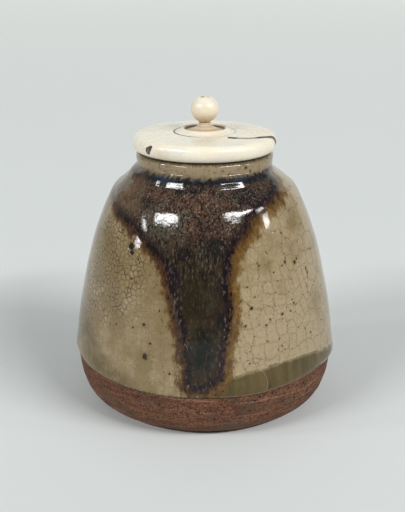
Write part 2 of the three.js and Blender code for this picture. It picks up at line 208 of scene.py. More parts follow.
# The paper, in metres: its front edge, where its bend starts, the bend's radius, its top and half
# its width
PAPER = SimpleNamespace(front=-0.9, bend=1.6, radius=0.5, top=1.6, half_width=2.0)

# Patches of colour in the iron glaze: the colour, how strong, then degrees from the front, height,
# half width and half height in mm
IRON_PATCHES = (
    ("iron_khaki", 0.8, ((-45, 60.0, 5.0, 4.0), (-23, 55.0, 5.0, 3.6), (26, 57.5, 5.0, 1.8))),
    ("iron_rust", 0.7, ((-8, 56.3, 2.6, 3.0), (-31, 62.6, 7.0, 1.8), (-4, 61.6, 7.5, 2.4))),
    ("iron_dark", 0.75, ((29, 62.6, 5.0, 2.2), (5, 51.5, 5.0, 3.6), (-9, 50.0, 3.0, 3.0),
                         (-37, 60.3, 3.2, 2.6), (-12, 64.0, 5.0, 1.2))),
    ("iron_olive", 0.85, ((-5.5, 38.5, 3.4, 7.0), (7, 49.3, 2.6, 1.8))),
    ("iron_plum", 0.9, ((9.5, 41.5, 2.7, 6.0), (-14, 44.0, 2.2, 5.0))),
    ("navy", 0.75, ((7, 34.0, 2.6, 3.2),)),
    ("iron_blue", 0.9, ((-0.5, 26.0, 3.8, 8.0),)),
)

# Where the ash glaze's fine net of cracks is strongest, and its stain low on the left
NET_PATCHES = (
    (-50, 43, 17.0, 20.0), (-62, 47, 12.0, 14.0), (-75, 33, 17.0, 18.0),
    (140, 46, 24.0, 20.0), (-150, 30, 20.0, 14.0),
)
STAIN_PATCHES = (
    (-58, 20.5, 9.0, 6.5), (-50, 18.0, 10.0, 5.0), (-42, 16.0, 10.0, 4.0), (-66, 24.0, 8.0, 6.0),
)
# Painted bluish sheen at the neck's foot, in spots beside its highlights
STEEL_SHEEN_PATCHES = ((-31, 66.1, 5.0, 1.3), (-4, 66.4, 3.0, 0.6), (26, 66.2, 3.0, 0.8))
# The arc at the olive pool's left end: degrees from the front, height and radius in mm
POOL_LOOP = (19.5, 16.6, 4.3)

# The stained spot on the lid's rim: centres, radii, and the radii up to which it is full, in mm
LID_SPOTS = (
    ((-14.5, -12.3, 72.75), 1.1, 0.9), ((-14.1, -12.85, 73.4), 0.85, 0.68),
    ((-13.8, -13.3, 73.85), 0.5, 0.4),
)
LID_SPOT_CORE = (-14.65, -12.4, 72.7)


def length(name, description, default):
    return FloatProperty(name=name, description=description, default=default, min=0.0,
                         unit="LENGTH", precision=5)


def count(name, description, default):
    return IntProperty(name=name, description=description, default=default, min=8)


def colour(name, description, default):
    return FloatVectorProperty(name=name, description=description, default=(*default, 1.0), size=4,
                               min=0.0, max=1.0, subtype="COLOR")


class TeaJarSizes(bpy.types.PropertyGroup):
    """Lengths of the thrown jar and its two glazes"""

    height: length("Height", "Foot to the top of the bare lip", CLAY_HIGH.z)
    belly_radius: length("Belly radius", "Widest radius of the bare clay", CLAY_HIGH.x)
    belly_height: length("Belly height", "Height of the widest place", 17.6 * MM)
    foot_radius: length("Foot radius", "Radius that the jar stands on", 28 * MM)
    foot_round: length("Foot edge", "Rounding of the foot's lower edge", 0.5 * MM)
    arris_inset: length("Arris inset", "From the belly in to the trimming's upper edge", 1.8 * MM)
    arris_height: length("Arris height", "Height of the trimming's upper edge", 5.7 * MM)
    lip_radius: length("Lip radius", "Outer radius of the lip", 18 * MM)
    lip_width: length("Lip width", "Width of the lip", 2.3 * MM)
    lip_crown: length("Lip crown", "How far the lip's top is rounded", 0.8 * MM)
    lip_rise: length("Lip rise", "From the waist of the neck up to the lip", 3.1 * MM)
    neck_waist: length("Neck waist", "How far the neck draws in below the lip", 0.25 * MM)
    wall: length("Wall", "Thickness of the clay", 2.5 * MM)
    floor: length("Floor", "Thickness of the floor", 4 * MM)
    floor_flat_radius: length("Flat floor radius", "Radius of the floor's flat part", 18 * MM)
    throat: length("Throat", "Straight length inside the mouth", 5.4 * MM)
    spiral_pitch: length("Spiral pitch", "Rise of the finger spiral in one turn", 11 * MM)
    spiral_depth: length("Spiral depth", "Depth of the finger spiral", 0.35 * MM)
    string_pitch: length("String cut pitch", "Between arcs left by the cutting string", 1.3 * MM)
    string_depth: length("String cut depth", "Depth of those arcs", 0.12 * MM)
    glaze: length("Glaze", "Thickness of the ash glaze", 0.45 * MM)
    glaze_line: length("Glaze line", "Usual height of the ash glaze's lower edge", 14 * MM)
    glaze_sway: length("Glaze sway", "How much that edge sways", 2 * MM)
    glaze_roll_height: length("Roll height", "Height of the roll above that edge", 1.3 * MM)
    glaze_roll: length("Roll", "What the roll adds to the glaze's thickness", 0.2 * MM)
    glaze_edge: length("Glaze edge", "Thickness of the glaze at its edges", 0.2 * MM)
    glaze_in_mouth: length("Glaze in mouth", "How far the glaze goes down the mouth", 4.6 * MM)
    pool: length("Pool", "What the olive pool adds to the glaze's thickness", 0.16 * MM)
    run: length("Run", "Thickness of the iron glaze run", 0.4 * MM)
    run_bevel: length("Run edge", "Width over which the run thins out to its edge", 1.4 * MM)
    run_drop: length("Run drop", "What the drop at the run's tip adds", 0.2 * MM)
    run_drop_length: length("Run drop length", "Length of that drop", 9 * MM)
    run_tip_rise: length("Run tip", "From the glaze line up to the run's tip", 1.3 * MM)
    skin_gap: length("Skin gap", "Clearance between the clay and the glaze", 0.12 * MM)


class TeaJarLidSizes(bpy.types.PropertyGroup):
    """Lengths of the lid's ring, plug, bead, peg and lining"""

    radius: length("Lid radius", "Outer radius of the lid", RING_HIGH.x)
    thickness: length("Lid thickness", "From the seat to the rim's top", 4.35 * MM)
    edge_round: length("Edge rounding", "Rounding above the rim's widest line", 1.9 * MM)
    under_round: length("Under rounding", "Rounding below the rim's widest line", 1.25 * MM)
    dome: length("Dome", "How far the lid's middle stands above its rim", 0.3 * MM)
    flange_radius: length("Flange radius", "Outer radius of the flange in the mouth", 14.78 * MM)
    flange_width: length("Flange width", "Width of the flange", 2.1 * MM)
    flange_depth: length("Flange depth", "How far the flange drops", 3.2 * MM)
    flange_round: length("Flange rounding", "Rounding of the flange's end", 0.45 * MM)
    recess: length("Recess", "Depth of the recess under the lid", 1.5 * MM)
    plug_radius: length("Plug radius", "Radius of the centre plug", 8.25 * MM)
    joint: length("Joint", "Gap between the plug and the ring", 0.03 * MM)
    plug_chamfer: length("Plug chamfer", "Chamfer at the joint", 0.12 * MM)
    plug_lip_radius: length("Plug lip radius", "Radius of the plug's raised lip", 5.85 * MM)
    plug_lip_height: length("Plug lip height", "Height of that lip", 1.05 * MM)
    well_depth: length("Well depth", "Depth of the well inside the lip", 0.65 * MM)
    well_wall: length("Well wall", "Width of the lip's inner slope", 0.7 * MM)
    stem_radius: length("Stem radius", "Radius of the knob's stem", 1.5 * MM)
    stem_height: length("Stem height", "Top of the stem above the rim's top", 2.8 * MM)
    stem_flare: length("Stem flare", "Flare under the bead", 0.15 * MM)
    bead_radius: length("Bead radius", "Radius of the bead", 3.7 * MM)
    bead_seat: length("Bead seat", "Radius of the flat the bead sits on", 1.35 * MM)
    bead_countersink: length("Countersink", "Countersink at the peg's hole", 0.25 * MM)
    peg_radius: length("Peg radius", "Radius of the peg", 0.8 * MM)
    peg_clearance: length("Peg clearance", "Gap round the peg", 0.05 * MM)
    peg_socket: length("Peg socket", "Depth of the peg's hole in the stem", 4.2 * MM)


class TeaJarDetail(bpy.types.PropertyGroup):
    """How finely each piece is made"""

    clay_segments: count("Clay segments", "Steps round the clay jar", 384)
    glaze_segments: count("Glaze segments", "Steps round the ash glaze", 480)
    run_columns: count("Run columns", "Steps across the iron run", 236)
    run_rows: count("Run rows", "Steps from the run's tip to the neck", 172)
    lid_segments: count("Lid segments", "Steps round the lid's ring", 560)
    small_segments: count("Small segments", "Steps round the plug and the lining", 160)
    bead_segments: count("Bead segments", "Steps round the bead and the peg", 128)


class TeaJarColours(bpy.types.PropertyGroup):
    """Colours of the clay, the glazes, the lid and the stage"""

    clay_red: colour("Clay red", "Reddish fired clay", (0.078, 0.029, 0.017))
    clay_tan: colour("Clay tan", "Orange grain of the clay", (0.19, 0.084, 0.041))
    clay_pale: colour("Clay pale", "Pale grains in the clay", (0.36, 0.2, 0.12))
    clay_grey: colour("Clay grey", "Greyish bloom on the clay", (0.07, 0.055, 0.035))
    # Also used for the painted shadow just under the lid's rim
    clay_pit_and_shadow: colour("Clay pit", "Inside of the clay's pits", (0.012, 0.006, 0.004))
    ash_light: colour("Ash light", "Lighter ash glaze", (0.335, 0.262, 0.152))
    ash_dark: colour("Ash dark", "Darker ash glaze", (0.195, 0.14, 0.064))
    ash_line: colour("Ash crackle", "Stain in the crackle", (0.05, 0.034, 0.018))
    ash_milk: colour("Ash milk", "Milky ash glaze at its edges", (0.44, 0.37, 0.23))
    ash_stain: colour("Ash stain", "Brown stain low on the ash glaze", (0.08, 0.052, 0.014))
    olive: colour("Olive", "Glaze that ran together", (0.063, 0.042, 0.0065))
    amber: colour("Amber", "Halo round the iron run", (0.145, 0.074, 0.012))
    rust: colour("Rust", "Thin edge of the iron run", (0.062, 0.027, 0.007))
    iron_dark: colour("Iron dark", "Darkest iron glaze", (0.004, 0.003, 0.003))
    iron_brown: colour("Iron brown", "Brown of the iron glaze", (0.059, 0.032, 0.019))
    iron_rust: colour("Iron rust", "Rusty patches", (0.09, 0.042, 0.024))
    iron_khaki: colour("Iron khaki", "Khaki patches", (0.06, 0.053, 0.032))
    iron_olive: colour("Iron olive", "Smooth olive tongue", (0.016, 0.0115, 0.003))
    iron_plum: colour("Iron plum", "Purple black patches", (0.014, 0.006, 0.008))
    iron_blue: colour("Iron blue", "Blue-grey streaks", (0.004, 0.0065, 0.005))
    iron_thin: colour("Thin iron", "Brown where the iron glaze thins out", (0.16, 0.095, 0.048))
    iron_pale: colour("Iron pale", "Pale flecks", (0.3, 0.225, 0.19))
    navy: colour("Navy", "Thick glaze at the foot of the neck", (0.004, 0.005, 0.009))
    # A painted bluish sheen beside the highlights at the neck's foot
    collar_blue_sheen: colour("Collar blue", "Steel blue at the neck's foot", (0.02, 0.036, 0.058))
    neck: colour("Neck", "Thin glaze on the neck", (0.27, 0.205, 0.12))
    ivory: colour("Ivory", "Turned lid", (0.8, 0.75, 0.61))
    ivory_grey: colour("Grey ivory", "Greyish clouds in the lid", (0.67, 0.66, 0.59))
    # Also the painted shade and warm reflected colour on the knob's underside
    ivory_warm_and_shade: colour("Warm ivory", "Warmer parts of the lid and knob", (0.68, 0.5, 0.31))
    # The well's tan is partly painted shade under the bead
    ivory_tan: colour("Tan ivory", "The turned well", (0.34, 0.25, 0.135))
    # Also painted shade in the plug's well corner, its joint and the peg's crevice
    ivory_stain_and_shade: colour("Ivory stain", "Brown in cracks and joints", (0.045, 0.016, 0.009))
    gold: colour("Gold", "Gold leaf", (0.8, 0.56, 0.2))
    gold_pale: colour("Pale gold", "Leaves that lie thicker", (0.95, 0.72, 0.34))
    paper: colour("Paper", "Seamless paper", (0.673, 0.699, 0.692))
    # Painted light: the paper is made lighter far back, where less light reaches it
    paper_far_lit: colour("Far paper", "Where the paper rises behind", (0.795, 0.816, 0.782))


def in_mm(group):
    """A property group's lengths in millimetres."""
    return SimpleNamespace(**{name: getattr(group, name) / MM for name in group.__annotations__})


def mix(a, b, share):
    return a + (b - a) * share


def clamp(value, low=0.0, high=1.0):
    return min(max(value, low), high)


def ease(value, low, high):
    share = clamp((value - low) / (high - low))
    return share * share * (3 - 2 * share)


def at(radius, height):
    return Vector((radius, height))


def shares_between(start, end, shares):
    """Two outline places and the ones between them that a table of shares gives."""
    return [start, *(at(mix(start.x, end.x, x), mix(start.y, end.y, y)) for x, y in shares), end]


def arc(centre, across, up, start, end, steps, fullness=2.0):
    """Part of an ellipse, or of a squarer oval where fullness is more than 2. Its ends are in
    quarter turns: 0 points outwards and 1 points up."""
    places = []
    for i in range(steps + 1):
        turn = mix(start, end, i / steps) * math.pi / 2
        out, rise = math.cos(turn), math.sin(turn)
        places.append(centre + at(math.copysign(across * abs(out) ** (2 / fullness), out),
                                  math.copysign(up * abs(rise) ** (2 / fullness), rise)))
    return places


def smooth_path(places, steps):
    """A smooth curve through some places, with so many steps from one to the next."""
    path = []
    last = len(places) - 1
    for i in range(last):
        a, b, c, d = (places[int(clamp(k, 0, last))] for k in range(i - 1, i + 3))
        for t in (step / steps for step in range(steps)):
            path.append(b + (c - a) * (t / 2) + (2 * a - 5 * b + 4 * c - d) * (t ** 2 / 2)
                        + (3 * b - a - 3 * c + d) * (t ** 3 / 2))
    return [*path, places[last]]


def reach_along(path):
    """How far along a path each of its places lies."""
    steps = ((b - a).length for a, b in zip(path, path[1:]))
    return [*itertools.accumulate(steps, initial=0.0)]


def respaced(path, spacing):
    """The same path with its places an even distance apart, close to a wanted spacing."""
    reach = reach_along(path)
    steps = max(1, round(reach[-1] / spacing))
    places = []
    for wanted in (reach[-1] * i / steps for i in range(steps + 1)):
        i = int(clamp(bisect.bisect_right(reach, wanted), 1, len(path) - 1))
        share = (wanted - reach[i - 1]) / (reach[i] - reach[i - 1])
        places.append(path[i - 1].lerp(path[i], share))
    return places


def normals_of(path):
    """Unit normals of a path, to the right hand of someone who walks along it."""
    last = len(path) - 1
    steps = [path[min(i + 1, last)] - path[max(i - 1, 0)] for i in range(last + 1)]
    return [at(step.y, -step.x).normalized() for step in steps]


def rounded(corners, steps=3):
    """An outline whose corners (place, rounding) are cut to small curves."""
    outline = []
    for i, (place, rounding) in enumerate(corners):
        if rounding == 0:
            outline.append(place)
            continue
        before, after = corners[i - 1][0], corners[(i + 1) % len(corners)][0]
        start = place + (before - place).normalized() * rounding
        end = place + (after - place).normalized() * rounding
        for t in (k / steps for k in range(steps + 1)):
            outline.append(start.lerp(place, t).lerp(place.lerp(end, t), t))
    return outline


def between(keys, key):
    """Which of some rising numbers comes next after a key, and the key's share of the way to it
    from the number before."""
    high = int(clamp(bisect.bisect_left(keys, key), 1, len(keys) - 1))
    return high, clamp((key - keys[high - 1]) / (keys[high] - keys[high - 1]))


def table_row(table, key):
    """A row of a table without its first number, read between the two rows a key lies between."""
    high, share = between([row[0] for row in table], key)
    return [mix(a, b, share) for a, b in zip(table[high - 1][1:], table[high][1:])]


def angle_of(place):
    """Angle round the axis from the front towards the right."""
    return math.atan2(place.x, -place.y)


def turned_to(place, angle):
    return Vector((place.x * math.sin(angle), -place.x * math.cos(angle), place.y))


class Wall:
    """The clay's outside from the arris up to the lip, looked up by height or by path length."""

    def __init__(self, jar):
        neck_height = jar.height - jar.lip_rise
        crown_height = jar.height - jar.lip_crown
        neck = at(jar.lip_radius - jar.neck_waist, neck_height)
        arris = at(jar.belly_radius - jar.arris_inset, jar.arris_height)
        belly = at(jar.belly_radius, jar.belly_height)
        mid_neck = at(neck.x + jar.neck_waist / 2, (neck_height + crown_height) / 2)
        lip = at(jar.lip_radius, crown_height)
        places = [*shares_between(arris, belly, LOWER_WALL_SHARES),
                  *shares_between(belly, neck, UPPER_WALL_SHARES)[1:], mid_neck, lip]
        self.path = smooth_path(places, 40)
        self.normals = normals_of(self.path)
        self.heights = [place.y for place in self.path]
        self.reach = reach_along(self.path)
        self.neck_height = neck_height
        self.crown_height = crown_height
        self.mouth = jar.lip_radius - jar.lip_width
        self.half_lip = jar.lip_width / 2
        self.lip_middle = jar.lip_radius - self.half_lip
        self.lip_crown = jar.lip_crown

    def _place(self, high, share):
        place = self.path[high - 1].lerp(self.path[high], share)
        return place, self.normals[high - 1].lerp(self.normals[high], share).normalized()

    def at_height(self, height):
        return self._place(*between(self.heights, height))

    def at_reach(self, reach):
        return self._place(*between(self.reach, reach))

    def reach_of(self, height):
        high, share = between(self.heights, height)
        return mix(self.reach[high - 1], self.reach[high], share)

    def over_lip(self, steps):
        """Places over the lip, from the outside to the inside."""
        return arc(at(self.lip_middle, self.crown_height), self.half_lip, self.lip_crown,
                   0, 2, steps, LIP_FULLNESS)

    def below(self, top):
        return [place for place in self.path if place.y < top]

    def above(self, bottom):
        return [place for place in self.path if place.y > bottom]


class Glazes:
    """Where the two glazes lie: line, thickness and relief, and how far into the run a place is."""

    def __init__(self, jar, wall):
        self.jar = jar
        self.wall = wall
        self.tip_height = jar.glaze_line + jar.run_tip_rise
        self.collar = smooth_path([at(*row) for row in COLLAR], 8)
        self.edge_tree = self._edge_tree()

    def line(self, angle):
        turns = angle / math.tau
        return self.jar.glaze_line + self.jar.glaze_sway * table_row(
            GLAZE_LINE_SHARES, turns - round(turns))[0]

    def pool_edge(self, angle):
        turns = angle / math.tau
        heights = [table_row(POOL_EDGE, turns + nearby)[0] for nearby in POOL_SOFTENING]
        return sum(heights) / len(heights)

    def thickness(self, height, angle):
        """Thickness of the ash glaze, with its roll and where it ran together."""
        jar = self.jar
        rise = height - self.line(angle)
        roll = 1 - clamp((rise - jar.glaze_roll_height) / (jar.belly_height - jar.glaze_line))
        pooled = ease(self.pool_edge(angle) - height, 0, POOL_TOP_FADE)
        pooled *= ease(rise, 0, POOL_FOOT_FADE)
        full = jar.glaze + jar.glaze_roll * roll + jar.pool * pooled
        start = 1 - clamp(rise / jar.glaze_roll_height)
        return mix(jar.glaze_edge, full, math.sqrt(max(0.0, 1 - start * start)))

    def relief(self, place):
        """Soft unevenness of the fired surface, which only ever takes away."""
        sway = RING_SWAY * noise.noise(place * RING_SWAY_SCALE)
        waves = (noise.noise(place * BLOTCH_SCALE), math.sin(place.z * RING_SCALE + sway),
                 noise.noise(place * GRAIN_SCALE))
        calm = mix(1, CALM_SHARE, ease(place.z, *CALM_HEIGHTS))
        return sum(depth * (wave * calm - 1) for depth, wave in zip(RELIEF_DEPTHS, waves))

    def pooled_at_neck(self, place, angle):
        """A place on the glaze, pushed out where the glaze pooled at the foot of the neck."""
        if not COLLAR[0][0] < place.z < COLLAR[-1][0]:
            return place
        middle, start, full = (math.radians(turn) for turn in (
            COLLAR_MIDDLE, COLLAR_START, COLLAR_FULL))
        share = ease(math.cos(angle + middle), math.cos(start), math.cos(full))
        return place + turned_to(at(table_row(self.collar, place.z)[0] * share, 0), angle)

    def ash_surface(self, height, angle):
        """The ash glaze's outer surface and its normal, as places in the round."""
        place, normal = self.wall.at_height(height)
        ground = turned_to(place, angle)
        outwards = turned_to(normal, angle)
        stand_off = self.jar.skin_gap + self.thickness(height, angle) + self.relief(ground)
        return self.pooled_at_neck(ground + outwards * stand_off, angle), outwards

    def run_edges(self, height):
        share = (height - self.tip_height) / (self.wall.neck_height - self.tip_height)
        left, right = table_row(RUN_EDGE_SHARES, share)
        return left * math.pi, right * math.pi

    def _edge_tree(self):
        samples = 900
        angles = 20
        low, high = self.tip_height, self.wall.neck_height
        places = []
        for i in range(samples + 1):
            height = mix(low, high, i / samples)
            places.extend((height, angle) for angle in self.run_edges(height))
        left, right = self.run_edges(low)
        places.extend((low, mix(left, right, i / angles)) for i in range(angles + 1))
        tree = kdtree.KDTree(len(places))
        for i, (height, angle) in enumerate(places):
            tree.insert(turned_to(self.wall.at_height(height)[0], angle), i)
        tree.balance()
        return tree

    def run_depth(self, height, angle):
        """How far inside the iron run's outline a place lies, in mm, or below 0 outside it."""
        left, right = self.run_edges(height)
        inside = height >= self.tip_height and left <= angle <= right
        ground = turned_to(self.wall.at_height(height)[0], angle)
        distance = self.edge_tree.find(ground)[2]
        return distance if inside else -distance


def verts_in(grown):
    """The vertices among what a bmesh operator made."""
    return [part for part in grown["geom"] if isinstance(part, bmesh.types.BMVert)]


def outline_mesh(outline, segments, closed=False):
    """A turned shape: an outline spun about the axis, with its rows numbered in a layer."""
    bm = bmesh.new()
    row_layer = bm.verts.layers.int.new("row")
    verts = []
    for i, place in enumerate(outline):
        vert = bm.verts.new((0.0, -place.x, place.y))
        vert[row_layer] = i
        verts.append(vert)
    edges = [bm.edges.new(pair) for pair in zip(verts, verts[1:])]
    if closed:
        edges.append(bm.edges.new((verts[-1], verts[0])))
    angle = math.tau / 2 ** SECTOR_DOUBLINGS
    bmesh.ops.spin(bm, geom=[*verts, *edges], cent=(0, 0, 0), axis=(0, 0, 1), angle=angle,
                   steps=segments // 2 ** SECTOR_DOUBLINGS)
    for doubling in range(SECTOR_DOUBLINGS):
        copied = bmesh.ops.duplicate(bm, geom=[*bm.verts, *bm.edges, *bm.faces])
        turn = Matrix.Rotation(angle * 2 ** doubling, 3, "Z")
        bmesh.ops.rotate(bm, cent=(0, 0, 0), matrix=turn, verts=verts_in(copied))
        bmesh.ops.remove_doubles(bm, verts=bm.verts, dist=SAME_PLACE)
    bm.verts.ensure_lookup_table()
    return bm, bm.verts.layers.int["row"]


def link_mesh(bm, name, material):
    """Puts a mesh into the scene as a smooth object."""
    for face in bm.faces:
        face.smooth = True
    mesh = bpy.data.meshes.new(name)
    bm.to_mesh(mesh)
    bm.free()
    mesh.materials.append(material)
    linked = bpy.data.objects.new(name, mesh)
    bpy.context.scene.collection.objects.link(linked)
    return linked


def add_piece(bm, name, material, node, body):
    """Turns a mesh in mm into a finished piece that stands for one packed node."""
    rows = bm.verts.layers.int.get("row")
    if rows:
        bm.verts.layers.int.remove(rows)
    bmesh.ops.recalc_face_normals(bm, faces=bm.faces)
    bmesh.ops.scale(bm, vec=(MM, MM, MM), verts=bm.verts)
    piece = link_mesh(bm, name, material)
    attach(piece, body)
    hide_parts(node)


class Finish:
    """Wires one procedural material round its shader. A Mix node keeps its numbers in sockets 2
    and 3, its vectors in 4 and 5 and its colours in 6 and 7."""

    def __init__(self, name, **shader):
        self.material = bpy.data.materials.new(name)
        self.material.use_nodes = True
        self.tree = self.material.node_tree
        self.shader = self.tree.nodes["Principled BSDF"]
        for socket, value in shader.items():
            self.feed(self.shader.inputs[socket.replace("_", " ")], value)

    def feed(self, socket, value):
        if isinstance(value, bpy.types.NodeSocket):
            self.tree.links.new(value, socket)
        else:
            socket.default_value = value

    def node(self, kind, sockets, **settings):
        node = self.tree.nodes.new("ShaderNode" + kind)
        for name, value in settings.items():
            setattr(node, name, value)
        for key, value in sockets.items():
            self.feed(node.inputs[key], value)
        return node

    def attribute(self, name, output="Fac"):
        return self.node("Attribute", {}, attribute_name=name).outputs[output]

    # Vectors

    def vector(self, operation, *values, output=0):
        return self.node("VectorMath", dict(enumerate(values)), operation=operation).outputs[output]

    def scaled(self, vector, scale):
        return self.vector("MULTIPLY", vector, scale)

    def shifted(self, vector, amount):
        return self.vector("ADD", vector, amount)

    def reach(self, vector):
        return self.vector("LENGTH", vector, output=1)

    def away(self, vector, centre):
        return self.vector("DISTANCE", vector, centre, output=1)

    def axes(self, vector):
        return self.node("SeparateXYZ", {0: vector}).outputs

    def millimetres(self):
        place = self.node("TexCoord", {}).outputs["Object"]
        return self.scaled(place, (1 / MM,) * 3)

    def from_axis(self, place):
        """How far a place is from the turning axis, in mm."""
        return self.reach(self.scaled(place, (1, 1, 0)))

    def warped(self, vector, size, amount):
        """A vector pushed about by noise."""
        push = self.node("TexNoise", {"Vector": vector, "Scale": 1 / size, "Detail": 2.0})
        centred = self.shifted(push.outputs[1], (-0.5,) * 3)
        return self.shifted(self.scaled(centred, (2 * amount,) * 3), vector)

    def unrolled(self, place, up):
        """The wall laid flat: the front half by itself and the back half by itself."""
        x, y, _ = self.axes(place)
        halves = []
        for side in (-1, 1):
            turn = self.calc("ARCTAN2", self.times(x, -side), self.times(y, side))
            flat = self.node("CombineXYZ", {0: self.times(turn, UNROLL_RADIUS), 1: up})
            halves.append(flat.outputs[0])
        back = self.calc("GREATER_THAN", self.plus(y, self.times(self.fog(place, 4.0), 6.0)), 3.0)
        return self.node("Mix", {0: back, 4: halves[0], 5: halves[1]},
                         data_type="VECTOR").outputs[1]

    # Numbers

    def calc(self, operation, *values):
        return self.node("Math", dict(enumerate(values)), operation=operation).outputs[0]

    def chained(self, operation, values):
        return functools.reduce(functools.partial(self.calc, operation), values)

    def times(self, *values):
        return self.chained("MULTIPLY", values)

    def plus(self, *values):
        return self.chained("ADD", values)

    def most(self, *values):
        return self.chained("MAXIMUM", values)

    def mixed(self, share, a, b):
        """One value fading into another."""
        return self.node("Mix", {0: share, 2: a, 3: b}).outputs[0]

    def range(self, value, low, high):
        """A 0 to 1 value spread from low to high."""
        return self.node("MapRange", {"Value": value, "To Min": low, "To Max": high}).outputs[0]

    def band(self, value, start, end, low=0.0, high=1.0):
        """Low at start and high at end, eased between them, whichever of the two comes first."""
        return self.node("MapRange", {"Value": value, "From Min": start, "From Max": end,
                                      "To Min": low, "To Max": high},
                         interpolation_type="SMOOTHSTEP").outputs[0]

    def within(self, value, start, full, fades, end):
        """Rises from start to full, and falls from where it fades to its end."""
        return self.times(self.band(value, start, full), self.band(value, end, fades))

    def pushed(self, value, push, amount):
        """A value made ragged by a noise, by up to half the amount either way."""
        return self.plus(value, self.times(self.plus(push, -0.5), amount))

    # Patterns

    def fog(self, vector, size, detail=3.0, rough=0.55, warp=0.0):
        """Noise whose blotches are about as large as the size given."""
        return self.node("TexNoise", {"Vector": vector, "Scale": 1 / size, "Detail": detail,
                                      "Roughness": rough, "Distortion": warp}).outputs[0]

    def cells(self, vector, size, feature="F1", scatter=1.0, dimensions="3D"):
        sockets = {"Vector": vector, "Scale": 1 / size, "Randomness": scatter}
        return self.node("TexVoronoi", sockets, feature=feature,
                         voronoi_dimensions=dimensions).outputs["Distance"]

    def cracks(self, vector, size, scatter=1.0):
        """Distance to the nearest edge of a flat net of cells, as a share of their size."""
        return self.cells(vector, size, "DISTANCE_TO_EDGE", scatter, "2D")

    def blots(self, place, patches, core=0.4):
        """Soft patches round their centres, each with its half width and half height."""
        blots = []
        for centre, wide, tall in patches:
            away = self.scaled(self.shifted(place, -centre), (1 / wide, 1 / wide, 1 / tall))
            blots.append(self.band(self.reach(away), 1.0, core))
        return self.most(*blots)

    # Colours and the shader

    def coated(self, shade, *coats):
        """A shade with colours laid over it in turn. Each coat is a colour and then the masks or
        numbers whose product says how strongly it covers."""
        for colour, *shares in coats:
            sockets = {0: self.times(*shares), 6: shade, 7: colour}
            shade = self.node("Mix", sockets, data_type="RGBA").outputs[2]
        return shade

    def bump(self, height, depth):
        sockets = {"Height": height, "Distance": depth * MM, "Strength": 1.0}
        return self.node("Bump", sockets).outputs[0]

    def finish(self, colour, roughness, normal):
        self.feed(self.shader.inputs["Base Color"], colour)
        self.feed(self.shader.inputs["Roughness"], roughness)
        self.feed(self.shader.inputs["Normal"], normal)
        return self.material


def clay_material(c):
    """Gritty reddish stoneware with orange grain drawn out by trimming, pits and a grey bloom."""
    f = Finish("fired clay", IOR=1.3)
    place = f.millimetres()
    height = f.axes(place)[2]
    facet = f.band(f.plus(height, f.times(f.fog(place, 5.0, 2.0), 1.2)), 7.0, 5.8)
    bands = f.fog(f.scaled(place, (0.22, 0.22, 1.0)), 1.1, 4.0, 0.7)
    grain = f.fog(f.scaled(place, (0.7, 0.7, 1.0)), 0.42, 3.0, 0.8)
    coarse = f.fog(f.shifted(place, (3, 8, 5)), 0.9, 3.0, 0.7)
    patches = f.fog(f.scaled(place, (0.4, 0.4, 1.0)), 5.0, 3.0, 0.6)
    lines = f.fog(f.scaled(f.shifted(place, (9, 2, 6)), (0.06, 0.06, 1.0)), 1.5, 3.0, 0.6)
    hollow = f.times(f.band(f.cells(f.warped(place, 0.8, 0.3), 2.3), 0.2, 0.1),
                     f.range(facet, 1.0, 0.4))
    pits = f.most(hollow, f.band(coarse, 0.33, 0.26))
    off_facet = f.range(facet, 0.9, 0.5)
    shade = f.coated(
        c.clay_red,
        (c.clay_tan, f.band(bands, 0.38, 0.64)),
        (c.clay_red, f.band(coarse, 0.45, 0.6), 0.7),
        (c.clay_tan, f.band(grain, 0.53, 0.64), off_facet),
        (c.clay_pit_and_shadow, f.band(grain, 0.48, 0.38), off_facet),
        (c.clay_pale, f.band(lines, 0.56, 0.68), f.band(grain, 0.4, 0.55), 0.5),
        (c.clay_red, f.band(lines, 0.45, 0.34), 0.55),
        (c.clay_grey, f.band(patches, 0.5, 0.66), 0.6),
        (c.clay_pit_and_shadow, pits, 0.9),
        (c.clay_pale, f.band(f.fog(place, 0.36, 2.0, 0.6), 0.6, 0.7), 0.5),
    )
    relief = f.plus(f.times(grain, 0.7), f.times(bands, 0.6), f.times(pits, -0.7))
    return f.finish(shade, f.range(grain, 0.6, 0.9), f.bump(relief, 0.16))


def glaze_fields(f):
    """What the glazes' colours follow: places, marks left on the mesh, and noises they share."""
    place = f.millimetres()
    x, _, z = f.axes(place)
    return SimpleNamespace(
        place=place, x=x, z=z, flow=f.attribute("flow", "Vector"), depth=f.attribute("run_depth"),
        pool_depth=f.attribute("pool_depth"), rise=f.attribute("line_rise"),
        middle=f.fog(place, 3.4, 4.0, 0.62), small=f.fog(place, 0.8, 3.0, 0.65))


